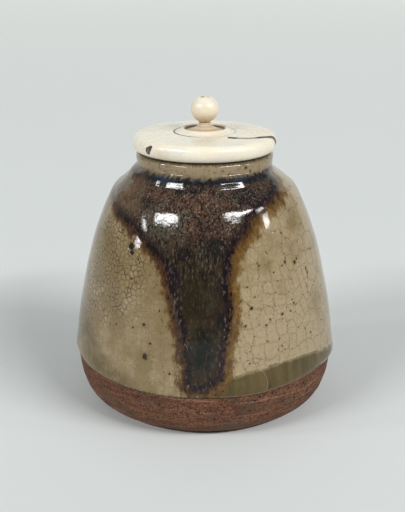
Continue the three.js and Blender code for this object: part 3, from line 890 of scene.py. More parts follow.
def ash_shade(f, c, g, spots):
    """Ash glaze: cloudy ground, a fine net of cracks on the left and a wide grid on the right."""
    tone = f.plus(f.times(f.fog(g.place, 14.0, 3.0, 0.55), 0.6), f.times(g.middle, 0.3),
                  f.times(f.band(g.x, -22.0, 12.0), 0.16))
    flat = f.unrolled(g.place, f.axes(g.flow)[2])

    netted = f.plus(f.times(f.blots(g.place, spots["net"], 0.0), 0.8), f.times(g.middle, 0.6))
    net = f.cracks(f.warped(flat, 1.2, 0.4), 1.4)
    fine = f.times(f.band(net, 0.17, 0.0), f.band(netted, 0.16, 0.66), f.band(g.small, 0.33, 0.47))
    worn = f.band(f.fog(f.shifted(g.place, (4, 6, 2)), 2.6, 4.0, 0.7), 0.4, 0.58, 0.4, 1.0)

    tall_cells = f.scaled(f.warped(f.warped(flat, 9.0, 2.4), 0.8, 0.22), (1.0, 0.8, 1.0))
    wide_net = f.cracks(tall_cells, 3.1, 0.55)
    thin_net = f.cracks(f.warped(f.shifted(flat, (40, 9, 0)), 2.0, 0.45), 2.4, 0.8)
    fades = f.band(f.fog(f.shifted(g.place, (7, 3, 1)), 2.2, 4.0, 0.7), 0.42, 0.56)
    other_fades = f.band(f.fog(f.shifted(g.place, (1, 5, 9)), 2.8, 3.0), 0.45, 0.62)
    on_right = f.band(g.x, -32.0, 0.0, 0.15, 1.0)
    grid = f.most(f.times(f.band(wide_net, 0.04, 0.0), fades),
                  f.times(f.band(thin_net, 0.04, 0.0), other_fades, 0.5))
    flecks = f.times(f.band(wide_net, 0.16, 0.03), f.band(g.small, 0.58, 0.64))

    crackle = f.most(f.times(fine, worn), f.times(grid, on_right, 0.46),
                     f.times(flecks, on_right, 0.9))
    shade = f.coated(
        c.ash_dark,
        (c.ash_light, f.band(tone, 0.42, 0.64)),
        (c.ash_dark, f.band(g.small, 0.52, 0.36), 0.35),
        (c.ash_dark, f.band(net, 0.4, 0.0), f.band(netted, 0.4, 0.9), 0.62),
        (c.ash_dark, f.band(wide_net, 0.15, 0.0), on_right, 0.22),
        (c.ash_line, crackle),
    )
    return shade, crackle


def over_neck(f, c, g, ash):
    """Thin glaze on the neck, with brown streaks and specks, greyer towards its foot."""
    streaks = f.fog(f.scaled(g.flow, (1.0, 1.0, 0.3)), 0.9, 3.0, 0.7)
    neck = f.coated(
        c.neck,
        (c.ash_dark, f.band(streaks, 0.48, 0.66), 0.5),
        (c.ash_line, f.band(g.small, 0.54, 0.68), 0.6),
        (c.clay_grey, f.band(f.plus(g.z, f.times(g.middle, -2.4)), 66.8, 65.8), 0.55),
    )
    return f.coated(ash, (neck, f.band(g.z, 64.9, 66.2)))


def over_foot(f, c, g, spots, ash):
    """Olive glaze that ran together low on the right, with darker drips and a lined upper edge,
    the stain low on the left, and what happens at the ash glaze's own lower edge."""
    ragged = f.pushed(g.pool_depth, f.fog(g.place, 2.6, 4.0), 2.0)
    drips = f.fog(f.scaled(f.warped(g.flow, 2.0, 0.5), (1.0, 1.0, 0.16)), 2.4, 5.0, 0.65)
    pool = f.coated(
        c.olive,
        (c.ash_dark, f.band(drips, 0.44, 0.72), 0.22),
        (c.iron_olive, f.band(drips, 0.5, 0.34), 0.36),
    )
    centre, radius = spots["loop"]
    loop = f.within(f.away(f.warped(g.place, 3.0, 0.3), centre), radius - 0.16, radius, radius,
                    radius + 0.16)
    stain = f.blots(f.warped(f.warped(g.place, 5.0, 3.0), 1.6, 0.8), spots["stain"], 0.1)
    return f.coated(
        ash,
        (pool, f.band(ragged, -0.5, 1.0), 0.95),
        (c.ash_milk, f.within(ragged, -0.8, -0.35, -0.25, 0.0), 0.15),
        (c.ash_line, f.within(ragged, -0.14, 0.02, 0.12, 0.34),
         f.band(f.fog(g.place, 2.6, 3.0), 0.42, 0.58), 0.6),
        (c.ash_light, loop, f.band(g.pool_depth, -0.2, 0.6), f.band(g.x, centre.x, centre.x + 3),
         0.4),
        (c.ash_stain, stain, f.band(g.middle, 0.34, 0.56, 0.35, 1.0), 0.85),
        (c.ash_milk, f.band(g.rise, 0.5, 0.2), f.band(g.x, -16.0, -2.0), 0.7),
        (c.ash_line, f.band(g.rise, 0.9, 0.3), f.band(g.x, -3.0, -10.0),
         f.band(g.small, 0.55, 0.42), 0.8),
    )


def iron_shade(f, c, g, spots):
    """Iron glaze: gritty and flecked on the shoulder, drawn out to smooth streaks in the tongue."""
    trunk = f.band(g.z, 57.0, 46.0)
    drawn = f.scaled(g.flow, (1.0, 1.0, 0.35))
    soft_place = f.warped(g.place, 3.0, 1.8)
    patch = f.fog(f.scaled(g.flow, (1.0, 1.0, 0.6)), 3.4, 3.0, 0.6)
    murk = f.fog(f.shifted(g.flow, (2, 9, 4)), 2.6, 4.0, 0.7)
    grit = f.mixed(trunk, f.fog(g.flow, 0.85, 4.0, 0.8), f.fog(drawn, 0.7, 3.0, 0.7))
    fleck = f.mixed(trunk, f.fog(f.shifted(g.flow, (11, 4, 8)), 0.62, 3.0, 0.75),
                    f.fog(f.shifted(drawn, (11, 4, 8)), 0.55, 2.0, 0.65))
    gritty = f.calc("SUBTRACT", 1.0, f.times(f.band(g.z, 47.0, 40.0), 0.6))
    navy_rise = f.pushed(g.z, f.fog(g.flow, 1.8, 4.0, 0.65), 3.4)
    shade = f.coated(
        c.iron_brown,
        (c.iron_khaki, f.band(patch, 0.42, 0.6)),
        (c.iron_rust, f.band(f.fog(g.flow, 1.6, 4.0, 0.7), 0.53, 0.66), 0.8),
        (c.iron_plum, f.band(murk, 0.5, 0.64), 0.75),
        (c.iron_olive, trunk, 0.75),
        *((getattr(c, name), f.blots(soft_place, patches), strength)
          for name, strength, patches in spots["iron"]),
        (c.iron_dark, f.band(grit, 0.53, 0.43), gritty, 0.9),
        (c.iron_pale, f.band(fleck, 0.54, 0.65), f.range(trunk, 0.48, 0.17), gritty),
        (c.navy, f.band(navy_rise, 64.7, 66.1), 0.93),
        # Painted sheen: steel blue spots beside the highlights at the neck's foot
        (c.collar_blue_sheen, f.blots(soft_place, spots["steel_sheen"]),
         f.band(grit, 0.42, 0.56, 0.25, 0.75)),
    )
    return shade, fleck


def over_run(f, c, g, spots, ash):
    """The iron run over the ash: amber, rust and plum black from its edge inwards, then its body,
    up to the neck's thin glaze, and a dark band just under the lid that is painted shadow of its
    rim with some dirt in it."""
    iron, fleck = iron_shade(f, c, g, spots)
    hair = f.fog(f.scaled(g.flow, (1.0, 1.0, 0.4)), 0.7, 4.0, 0.75)
    lobes = f.fog(g.flow, 2.1, 3.0, 0.6)
    inner = f.plus(f.pushed(f.pushed(g.depth, lobes, 3.6), hair, 4.2),
                   f.times(f.band(g.x, 2.0, 8.0), -1.6),
                   f.times(f.band(g.x, -12.0, -18.0), f.band(g.z, 58.0, 61.5), 3.0))
    rusty = f.plus(f.fog(g.flow, 1.4, 4.0, 0.7), f.times(f.band(g.x, 4.0, -4.0), 0.05))
    amber = f.coated(
        c.amber,
        (c.rust, f.band(rusty, 0.43, 0.58), 0.75),
        (c.rust, f.band(f.plus(inner, f.times(lobes, 2.0)), -0.9, 0.5), 0.7),
    )
    iron = f.coated(
        c.iron_plum,
        (c.iron_dark, f.band(f.fog(g.flow, 2.0, 3.0), 0.42, 0.58)),
        (c.iron_pale, f.band(fleck, 0.57, 0.7), 0.4),
        (iron, f.band(f.plus(inner, f.times(lobes, -2.4)), 0.2, 2.4)),
        (c.iron_thin, f.band(g.x, -13.0, -20.0), f.band(g.z, 56.0, 61.0),
         f.band(g.middle, 0.62, 0.42, 0.3, 0.85), f.band(fleck, 0.4, 0.6, 0.6, 1.0)),
        (c.rust, f.band(inner, 1.3, 0.3), f.band(rusty, 0.44, 0.56), 0.8),
    )
    to_amber = f.plus(inner, f.times(f.band(g.x, -6.0, 6.0), 1.5))
    ragged_top = f.pushed(g.z, f.fog(g.flow, 1.8, 2.0, 0.6), 2.2)
    # Just under the lid: painted shadow of the lid's rim, with some dirt in it
    lid_shadow_and_dirt = f.pushed(g.z, f.fog(g.flow, 0.8, 4.0, 0.7), 1.6)
    return f.coated(
        ash,
        (amber, f.band(to_amber, -2.2, -0.6), 0.95),
        (iron, f.band(inner, -0.9, 0.2)),
        (ash, f.band(ragged_top, 66.5, 67.4)),
        # Painted shadow under the lid's rim, partly dirt
        (c.clay_pit_and_shadow, f.band(lid_shadow_and_dirt, 69.5, 70.4), 0.8),
    )


def over_pits(f, c, g, pits, shade):
    """Faint specks and rarer pits everywhere, and the larger pits at their own places."""
    rag_place = f.warped(g.place, 0.55, 0.48)
    faint = f.times(f.band(f.cells(rag_place, 1.35), 0.2, 0.1), f.band(g.middle, 0.42, 0.6))
    reaches = [(f.away(rag_place, centre), radius) for centre, radius in pits]
    holes = f.most(f.band(f.cells(f.shifted(rag_place, (5, 5, 5)), 4.3), 0.085, 0.05),
                   *(f.band(reach, radius * 1.15, radius * 0.75) for reach, radius in reaches))
    shade = f.coated(
        shade,
        (c.ash_line, faint, 0.6),
        *((c.amber, f.band(reach, radius * 2.4, radius), 0.35) for reach, radius in reaches),
        (c.iron_dark, holes, 0.93),
    )
    return shade, holes


def glaze_material(name, c, gloss, glazes):
    """Both glazes share one build, so that they meet without a seam at the iron run's edge."""
    f = Finish(name, IOR=gloss)
    g = glaze_fields(f)
    spots = glaze_spots(glazes)
    ash, crackle = ash_shade(f, c, g, spots)
    ash = over_foot(f, c, g, spots, over_neck(f, c, g, ash))
    shade = over_run(f, c, g, spots, ash)
    shade, holes = over_pits(f, c, g, spots["pits"], shade)
    rough = f.range(f.fog(g.place, 1.6, 3.0), 0.03, 0.08)
    swell = f.times(f.fog(g.place, 2.4, 2.0, 0.5), f.band(g.z, 48.0, 56.0, 1.0, 0.5))
    sandy = f.times(
        f.range(f.times(f.band(g.depth, -1.0, 2.0), f.band(g.z, 46.0, 56.0)), 0.25, 1.0),
        f.band(g.z, 62.5, 64.5, 1.0, 0.2))
    relief = f.plus(f.times(swell, 0.55), f.times(f.fog(g.flow, 0.5, 2.0, 0.6), 0.24, sandy),
                    f.times(crackle, -0.1), f.times(holes, -0.6))
    return f.finish(shade, rough, f.bump(relief, 0.06))


def ivory_material(name, c, warmth):
    """Polished ivory colour: cream with soft grain and clouds, warmer where it is thin."""
    f = Finish(name, IOR=1.5, Subsurface_Weight=0.15, Subsurface_Radius=(1.0, 0.6, 0.35),
               Subsurface_Scale=0.0012)
    place = f.millimetres()
    grain = f.fog(f.scaled(place, (0.22, 1.0, 0.6)), 1.6, 2.0, 0.5, 0.3)
    clouds = f.fog(f.scaled(place, (0.5, 1.0, 1.0)), 6.0, 3.0)
    haze = f.fog(f.scaled(place, (0.4, 1, 1)), 3.4, 4.0)
    shade = f.coated(
        c.ivory,
        (c.ivory_warm_and_shade, f.band(clouds, 0.46, 0.66), warmth),
        (c.ivory_warm_and_shade, f.band(grain, 0.5, 0.75), 0.2),
        (c.ivory_grey, f.band(haze, 0.5, 0.62), 0.45),
    )
    return f, place, shade, grain


def joint_dirt_and_shade(f, c, place, start, end):
    """Dirt in the joint between ring and plug with painted shade of its groove, most of it on the
    left, where the groove lies in shade. It starts at one radius and is full at another."""
    # Painted shade: darker on the left, where the groove lies in shade
    on_left = f.band(f.axes(place)[0], 1.0, -5.0, 0.15, 0.9)
    return c.ivory_stain_and_shade, f.band(f.from_axis(place), start, end), on_left


def lid_material(c, lid):
    """The ring's ivory colour with its crack, the stained spot on its rim and its dark joint,
    partly dirt and partly painted shade of the groove.
    """
    f, place, shade, grain = ivory_material("lid ring", c, 0.3)
    along = f.attribute("crack_along")
    side = f.calc("ABSOLUTE", f.pushed(f.attribute("crack_side"), f.fog(place, 0.9, 3.0), 0.3))
    on_crack = f.times(f.band(along, 0.0, 0.7), f.band(f.axes(place)[2], 72.4, 73.2))
    middle = f.within(along, 2.2, 3.4, 7.2, 8.6)
    line = f.times(f.band(f.calc("DIVIDE", side, f.range(middle, 1.3, 1.0)), 1.0, 0.6), on_crack)
    line_shade = f.coated(c.ivory_stain_and_shade, (c.ivory_tan, middle, 0.7))
    rag_place = f.warped(place, 0.8, 0.14)
    spot = f.most(*(f.band(f.away(rag_place, centre), radius, full)
                    for centre, radius, full in LID_SPOTS))
    core = f.band(f.away(rag_place, LID_SPOT_CORE), 0.75, 0.2)
    spot_shade = f.coated(c.ivory_stain_and_shade, (c.ivory_tan, core, 0.3))
    shade = f.coated(
        shade,
        (c.ivory_warm_and_shade, f.band(side, 0.9, 0.2), on_crack, 0.3),
        (line_shade, line, f.range(middle, 1.0, 0.85)),
        (spot_shade, spot, 0.96),
        joint_dirt_and_shade(f, c, place, lid.plug_radius + 0.36, lid.plug_radius + 0.1),
    )
    relief = f.plus(f.times(grain, 0.4), f.times(line, -1.0))
    return f.finish(shade, f.range(f.fog(place, 3.0), 0.22, 0.34), f.bump(relief, 0.04))


def plug_material(c, lid):
    """The plug: cream on its slope, tan where the well was turned, partly patina and partly painted
    shade under the bead, and darker in its corners with painted shade.
    """
    f, place, shade, grain = ivory_material("lid plug", c, 0.3)
    radius = f.from_axis(place)
    lip = lid.plug_lip_radius
    turned = f.fog(f.node("CombineXYZ", {0: radius}).outputs[0], 0.3, 2.0)
    tan = f.coated(c.ivory_tan, (c.ivory_warm_and_shade, f.band(turned, 0.42, 0.6), 0.7))
    shade = f.coated(
        # Tan inside the lip: partly patina, partly painted shade under the bead
        shade,
        (tan, f.within(radius, 0.9, 1.5, lip - 0.5, lip - 0.1),
         f.band(radius, 2.6, 4.2, 0.75, 1.0)),
        # Painted shade: a dark ring in the well's corner, at the foot of the lip's inner wall
        (c.ivory_stain_and_shade, f.within(radius, lip - 1.3, lip - 0.8, lip - 0.55, lip - 0.2), 0.8),
        joint_dirt_and_shade(f, c, place, lid.plug_radius - 0.34, lid.plug_radius - 0.1),
    )
    relief = f.plus(f.times(grain, 0.4), f.times(turned, 0.6))
    return f.finish(shade, f.range(f.fog(place, 3.0), 0.28, 0.42), f.bump(relief, 0.05))


def knob_material(name, c, top, countersink):
    """The knob's ivory colour, with painted shade and warm reflected colour from the well on its
    underside, and dirt round its peg with painted shade in the countersink's crevice.
    """
    f, place, shade, grain = ivory_material(name, c, 0.8)
    z = f.axes(place)[2]
    shade = f.coated(
        shade,
        # Painted shade and warm reflected colour, growing towards the underside
        (c.ivory_warm_and_shade, f.band(z, top - 1.5, top - 6.2, 0.12, 0.78)),
        # Dirt round the peg, with painted shade in the crevice of its countersink
        (c.ivory_stain_and_shade, f.band(f.from_axis(place), countersink + 0.35, countersink - 0.1),
         f.band(z, top - 0.5, top), f.band(f.fog(place, 0.8), 0.42, 0.6), 0.85),
    )
    return f.finish(shade, f.range(f.fog(place, 2.0), 0.24, 0.36), f.bump(grain, 0.02))


def gold_material(c):
    """Gold leaf laid in squares that overlap a little."""
    f = Finish("gold leaf", Metallic=0.9)
    place = f.millimetres()
    squares = f.node("TexBrick", {"Vector": place, "Color1": (0.9,) * 4, "Color2": (0.65,) * 4,
                                  "Mortar": (0.0, 0.0, 0.0, 1.0), "Scale": 1.0, "Mortar Size": 0.06,
                                  "Brick Width": LEAF_WIDTH, "Row Height": LEAF_WIDTH}, offset=0.35)
    fold = f.fog(f.warped(place, 3.0, 1.0), 1.4, 4.0, 0.7)
    worn = f.band(f.fog(place, 2.2, 4.0, 0.7), 0.62, 0.72)
    shade = f.coated(
        c.gold,
        (c.gold_pale, squares.outputs[0], 0.3),
        (c.ivory_stain_and_shade, squares.outputs[1], 0.5),
        (c.ivory_warm_and_shade, worn, 0.6),
    )
    return f.finish(shade, f.range(fold, 0.25, 0.55), f.bump(fold, 0.12))


def paper_material(c):
    """Seamless pale paper, painted lighter towards the back to even out the light on the backdrop.
    """
    f = Finish("seamless paper")
    place = f.millimetres()
    shade = f.coated(c.paper, (c.paper_far_lit, f.band(f.axes(place)[1], 150.0, 1700.0)))
    return f.finish(shade, 0.85, f.bump(f.fog(place, 0.6, 2.0), 0.02))


class TeaJarStep:
    """What every step of the build shares."""

    bl_options = {"REGISTER", "UNDO"}

    def execute(self, context):
        scene = context.scene
        self.jar = in_mm(scene.tea_jar_sizes)
        self.lid = in_mm(scene.tea_jar_lid_sizes)
        self.detail = scene.tea_jar_detail
        self.colours = SimpleNamespace(**{
            name: tuple(getattr(scene.tea_jar_colours, name))
            for name in scene.tea_jar_colours.__annotations__})
        self.build(context)
        return {"FINISHED"}


class TEAJAR_OT_clay(TeaJarStep, bpy.types.Operator):
    """Throw the clay jar, trim its foot and cut it from the wheel with a string"""

    bl_idname = "tea_jar.clay"
    bl_label = "Clay jar"

    def build(self, context):
        jar, wall = self.jar, Wall(self.jar)
        self.wall = wall
        self.throat_end = wall.crown_height - jar.throat
        self.foot_flat = jar.foot_radius - jar.foot_round
        foot = at(jar.foot_radius, jar.foot_round)
        facet = smooth_path(shares_between(foot, wall.path[0], FOOT_FACET_SHARES), 8)
        bare_top = jar.glaze_line + 3
        side = [p - n * jar.wall for p, n in zip(wall.path, wall.normals)]
        side = [p for p in side[::30] if p.x > wall.mouth + 0.3
                and jar.belly_height + jar.wall < p.y < self.throat_end - 0.4]
        turn = shares_between(at(jar.belly_radius - jar.wall, jar.belly_height),
                              at(jar.floor_flat_radius, jar.floor), INNER_FOOT_SHARES)
        inner = smooth_path([at(wall.mouth, self.throat_end), *side[::-1], *turn], 6)
        parts = (
            respaced([at(0, 0), at(self.foot_flat, 0)], CLAY_STEPS.base),
            arc(at(self.foot_flat, jar.foot_round), jar.foot_round, jar.foot_round,
                -1, 0, 3)[1:-1],
            respaced(facet, CLAY_STEPS.bare),
            respaced(wall.below(bare_top), CLAY_STEPS.bare)[1:],
            respaced(wall.above(bare_top), CLAY_STEPS.glazed)[:-1],
            wall.over_lip(12),
            respaced([at(wall.mouth, wall.crown_height - 0.2),
                      at(wall.mouth, self.throat_end + 0.3)], CLAY_STEPS.throat),
            respaced(inner, CLAY_STEPS.inside),
            respaced([at(jar.floor_flat_radius - 0.5, jar.floor), at(0, jar.floor)],
                     CLAY_STEPS.floor),
        )
        outline = [place for part in parts for place in part]
        bm, _ = outline_mesh(outline, self.detail.clay_segments)
        for vert in bm.verts:
            self.work(vert)
        add_piece(bm, "clay_jar", clay_material(self.colours), "clay_body", "jar")

    def work(self, vert):
        """Moves a place by what the tool, the string or the fingers left there."""
        co = vert.co
        radius = math.hypot(co.x, co.y)
        if co.z < SAME_PLACE and radius < self.foot_flat:
            co.z += self.string_cut(co, radius)
            return
        if radius < SAME_PLACE:
            return
        outward = Vector((co.x / radius, co.y / radius, 0))
        outside = self.is_outside(radius, co.z)
        if outside and co.z < self.jar.glaze_line + 2.5:
            co += outward * (self.trimming(co, outward) - self.scratch(co))
        elif not outside and self.jar.floor < co.z < self.throat_end:
            co += outward * self.finger_spiral(co)

    def is_outside(self, radius, height):
        """Whether a place is on the jar's outside rather than its inside."""
        jar = self.jar
        if height >= jar.arris_height:
            return radius > self.wall.at_height(height)[0].x - jar.wall / 2
        return radius > jar.foot_radius + 0.6 or (
            radius > self.foot_flat and height < jar.floor - 0.5)

    def string_cut(self, co, radius):
        """Rise of the base between the arcs that the cutting string left."""
        jar = self.jar
        reach = (co - STRING_START).length + 0.5 * noise.noise(co * 0.2)
        ridge = 0.5 - 0.5 * math.cos(math.tau * reach / jar.string_pitch)
        return jar.string_depth * ridge * (
            1 - ease(radius, jar.foot_radius - 3, jar.foot_radius - 1))

    def trimming(self, co, outward):
        """Lines and grit of the bare clay, which only ever take away."""
        turned = noise.noise(Vector((TRIM_ROUND * outward.x, TRIM_ROUND * outward.y,
                                     co.z * TRIM_UP)))
        grit = noise.noise(co * 1.1) + 0.6 * noise.noise(co * 2.3)
        return TRIM_DEPTH * (turned - 1) + GRIT_DEPTH * (grit - 1.6)

    def scratch(self, co):
        """Depth of the slanting scratch low on the front."""
        if co.y >= 0:
            return 0.0
        start, end = SCRATCH_ENDS
        line = end - start
        share = clamp((co - start).dot(line) / line.length_squared)
        reach = (co - start - line * share).length
        return SCRATCH_DEPTH * (1 - ease(reach, SCRATCH_FLOOR, SCRATCH_RIM))

    def finger_spiral(self, co):
        """The spiral that the fingers left inside, which dies down at the floor and the throat."""
        jar = self.jar
        fade = jar.spiral_pitch / 2
        strength = ease(co.z, jar.floor, jar.floor + fade) * (
            1 - ease(co.z, self.throat_end - fade, self.throat_end))
        ridge = math.cos(math.tau * co.z / jar.spiral_pitch - angle_of(co))
        return jar.spiral_depth * strength * ridge


class TEAJAR_OT_ash_glaze(TeaJarStep, bpy.types.Operator):
    """Pour the ash glaze: swaying rolled lower edge, over the lip and a little into the mouth"""

    bl_idname = "tea_jar.ash_glaze"
    bl_label = "Ash glaze"

    def build(self, context):
        jar, wall = self.jar, Wall(self.jar)
        glazes = Glazes(jar, wall)
        mouth_end = jar.height - jar.glaze_in_mouth
        sway_top = jar.glaze_line + SWAY_REACH
        path = [*wall.above(jar.glaze_line), *wall.over_lip(24)[1:], at(wall.mouth, mouth_end)]
        outer, inner = respaced(path, GLAZE_STEPS.outer), respaced(path, GLAZE_STEPS.inner)
        rows = [(p, n, 1) for p, n in zip(outer, normals_of(outer))]
        rows += [(p, n, 0) for p, n in reversed([*zip(inner, normals_of(inner))])]
        outline = [p + n * (jar.skin_gap + side * jar.glaze) for p, n, side in rows]
        bm, row_layer = outline_mesh(outline, self.detail.glaze_segments, closed=True)
        layers = glaze_layers(bm)
        for vert in bm.verts:
            place, normal, side = rows[vert[row_layer]]
            angle = angle_of(vert.co)
            in_mouth = place.x < wall.lip_middle and place.y > mouth_end - 1
            height = place.y
            if not in_mouth and height < sway_top:
                height += (glazes.line(angle) - jar.glaze_line) * (
                    1 - ease(height, jar.glaze_line, sway_top))
                place, normal = wall.at_height(height)
            ground, outwards = turned_to(place, angle), turned_to(normal, angle)
            stand_off = jar.skin_gap
            if side:
                thickness = glazes.thickness(height, angle)
                if in_mouth:
                    left = clamp((place.y - mouth_end) / MOUTH_EDGE)
                    thickness = mix(jar.glaze_edge, jar.glaze, math.sqrt(left))
                stand_off += thickness + glazes.relief(ground)
            vert.co = ground + outwards * stand_off
            if side and not in_mouth:
                vert.co = glazes.pooled_at_neck(vert.co, angle)
                mark_glaze(vert, layers, glazes, height, angle)
            else:
                mark_plain(vert, layers, glazes, height, angle, place)
        material = glaze_material("ash glaze", self.colours, ASH_GLOSS, glazes)
        add_piece(bm, "ash_glaze", material, "ash_glaze_coat", "jar")


def glaze_layers(bm):
    floats = bm.verts.layers.float
    return SimpleNamespace(
        flow=bm.verts.layers.float_vector.new("flow"), run_depth=floats.new("run_depth"),
        pool_depth=floats.new("pool_depth"), line_rise=floats.new("line_rise"))


def flow_at(glazes, height, angle, past_lip=0.0):
    """Where a place lies on the wall rolled out to a cylinder, for patterns that follow it."""
    reach = glazes.wall.reach_of(min(height, glazes.wall.crown_height)) + past_lip
    return turned_to(at(glazes.jar.belly_radius, reach), angle)


def mark_glaze(vert, layers, glazes, height, angle):
    """Writes what the glaze's colours follow: flow, depth into the run, pool and lower edge."""
    vert[layers.flow] = flow_at(glazes, height, angle)
    vert[layers.run_depth] = clamp(glazes.run_depth(height, angle), -MARK_REACH, MARK_REACH)
    vert[layers.pool_depth] = clamp(glazes.pool_edge(angle) - height, -MARK_REACH, MARK_REACH)
    vert[layers.line_rise] = clamp(height - glazes.line(angle), -1, MARK_REACH)


def mark_plain(vert, layers, glazes, height, angle, place):
    """The same for glaze in the mouth and for its hidden side, far from every edge."""
    vert[layers.flow] = flow_at(glazes, height, angle, glazes.jar.lip_radius - place.x)
    vert[layers.run_depth] = vert[layers.pool_depth] = -MARK_REACH
    vert[layers.line_rise] = MARK_REACH


def on_glaze(glazes, marks):
    """Marks given by degrees and height, with their places on the glaze in mm instead."""
    return [(glazes.ash_surface(height, math.radians(degrees))[0], *rest)
            for degrees, height, *rest in marks]


def glaze_spots(glazes):
    """Places of everything in the glazes' colours that isn't the same all over."""
    return {
        "net": on_glaze(glazes, NET_PATCHES),
        "stain": on_glaze(glazes, STAIN_PATCHES),
        "iron": [(name, strength, on_glaze(glazes, marks))
                 for name, strength, marks in IRON_PATCHES],
        "steel_sheen": on_glaze(glazes, STEEL_SHEEN_PATCHES),
        "loop": on_glaze(glazes, (POOL_LOOP,))[0],
        "pits": on_glaze(glazes, GLAZE_PITS),
    }


class TEAJAR_OT_iron_run(TeaJarStep, bpy.types.Operator):
    """Pour the iron glaze over the shoulder and let one tongue run down the front"""

    bl_idname = "tea_jar.iron_run"
    bl_label = "Iron glaze run"

    def build(self, context):
        jar, wall = self.jar, Wall(self.jar)
        glazes = Glazes(jar, wall)
        bm = bmesh.new()
        bmesh.ops.create_grid(bm, x_segments=self.detail.run_columns,
                              y_segments=self.detail.run_rows, size=1.0)
        floats = bm.verts.layers.float
        across, along, outer = (floats.new(name) for name in ("across", "along", "outer"))
        for vert in bm.verts:
            vert[across] = (vert.co.x + 1) / 2
            vert[along] = (vert.co.y + 1) / 2
        grown = bmesh.ops.extrude_face_region(bm, geom=bm.faces[:], use_keep_orig=True)
        for vert in verts_in(grown):
            vert[outer] = 1.0
        layers = glaze_layers(bm)
        start, end = wall.reach_of(glazes.tip_height), wall.reach_of(wall.neck_height)
        drop_top = glazes.tip_height + jar.run_drop_length
        for vert in bm.verts:
            height = wall.at_reach(mix(start, end, vert[along]))[0].y
            left, right = glazes.run_edges(height)
            angle = mix(left, right, vert[across])
            ground, outwards = glazes.ash_surface(height, angle)
            mark_glaze(vert, layers, glazes, height, angle)
            depth = glazes.run_depth(height, angle)
            drop = jar.run_drop * (1 - ease(height, glazes.tip_height, drop_top))
            bevel = mix(jar.run_bevel, SHOULDER_BEVEL, ease(height, *SHOULDER_HEIGHTS))
            rise = (jar.run + drop) * RUN_SHARE * ease(depth, RUN_BEVEL_START, bevel) - RUN_SUNK
            grain = noise.noise(ground * RUN_GRAIN_SCALE)
            rise += RUN_GRAIN * grain * ease(depth, 0, RUN_GRAIN_EDGE)
            rise = mix(-RUN_SUNK, rise, ease(wall.neck_height - height, 0, RUN_NECK_FADE))
            vert.co = ground + outwards * (rise if vert[outer] else -RUN_BURIED)
        for name in ("across", "along", "outer"):
            floats.remove(floats[name])
        material = glaze_material("iron glaze", self.colours, IRON_GLOSS, glazes)
        add_piece(bm, "iron_glaze", material, "iron_glaze_run", "jar")


def lid_levels(lid):
    """Heights in mm of the lid's seat, its recess's ceiling, its rim's top and its dome's top."""
    under = RING_LOW.z / MM + lid.flange_depth
    top = under + lid.thickness
    return under, under + lid.recess, top, top + lid.dome


class TEAJAR_OT_lid_ring(TeaJarStep, bpy.types.Operator):
    """Turn the lid's ring with its rounded edge, seat and flange, and open its crack"""

    bl_idname = "tea_jar.lid_ring"
    bl_label = "Lid ring"

    def build(self, context):
        lid = self.lid
        under, ceiling, top, crown = lid_levels(lid)
        widest = under + lid.thickness * RIM_WIDEST
        flange_end = under - lid.flange_depth
        flange_inner = lid.flange_radius - lid.flange_width
        hole = lid.plug_radius + lid.joint
        rim = [*arc(at(lid.radius - lid.under_round, widest), lid.under_round, widest - under,
                    -1, 0, 10),
               *arc(at(lid.radius - lid.edge_round, widest), lid.edge_round, top - widest,
                    0, 1, 14)[1:]]
        dome = smooth_path([at(lid.radius - lid.edge_round, top),
                            at(mix(lid.radius, hole, 0.5), top + lid.dome * DOME_FULLNESS),
                            at(hole + lid.plug_chamfer, crown)], 8)
        underneath = rounded([
            (at(hole, ceiling), 0.0),
            (at(flange_inner, ceiling), 0.2),
            (at(flange_inner, flange_end), lid.flange_round),
            (at(lid.flange_radius, flange_end), lid.flange_round),
            (at(lid.flange_radius, under), 0.15),
        ])
        outline = [*underneath, *respaced([underneath[-1] + at(0.1, 0), rim[0]], LID_STEPS.seat),
                   *rim[1:], *respaced(dome, LID_STEPS.top)[1:],
                   at(hole, crown - lid.plug_chamfer)]
        bm, _ = outline_mesh(outline, self.detail.lid_segments, closed=True)
        side = bm.verts.layers.float.new("crack_side")
        along = bm.verts.layers.float.new("crack_along")
        start = CRACK_PATH[0][0]
        for vert in bm.verts:
            co = vert.co
            reach = co.y - table_row(CRACK_PATH, co.x)[0]
            vert[side] = clamp(reach, -4, 4)
            vert[along] = co.x - start
            radius = math.hypot(co.x, co.y)
            if co.z > widest and co.x > start:
                open_here = 1 - ease(abs(reach), CRACK_FLOOR, CRACK_RIM)
                co.z -= CRACK_DEPTH * open_here * ease(co.x, start, start + 1)
            if co.z > under and radius > flange_inner:
                wear = RIM_WEAR * (noise.noise(co * 0.16) - 1)
                co += Vector((co.x / radius, co.y / radius, 0)) * wear
            if co.z > top - 0.5:
                co.z += TOP_WEAR * (noise.noise(co * 0.2) - 1)
        material = lid_material(self.colours, lid)
        add_piece(bm, "lid_outer_ring", material, "lid_ring", "lid")


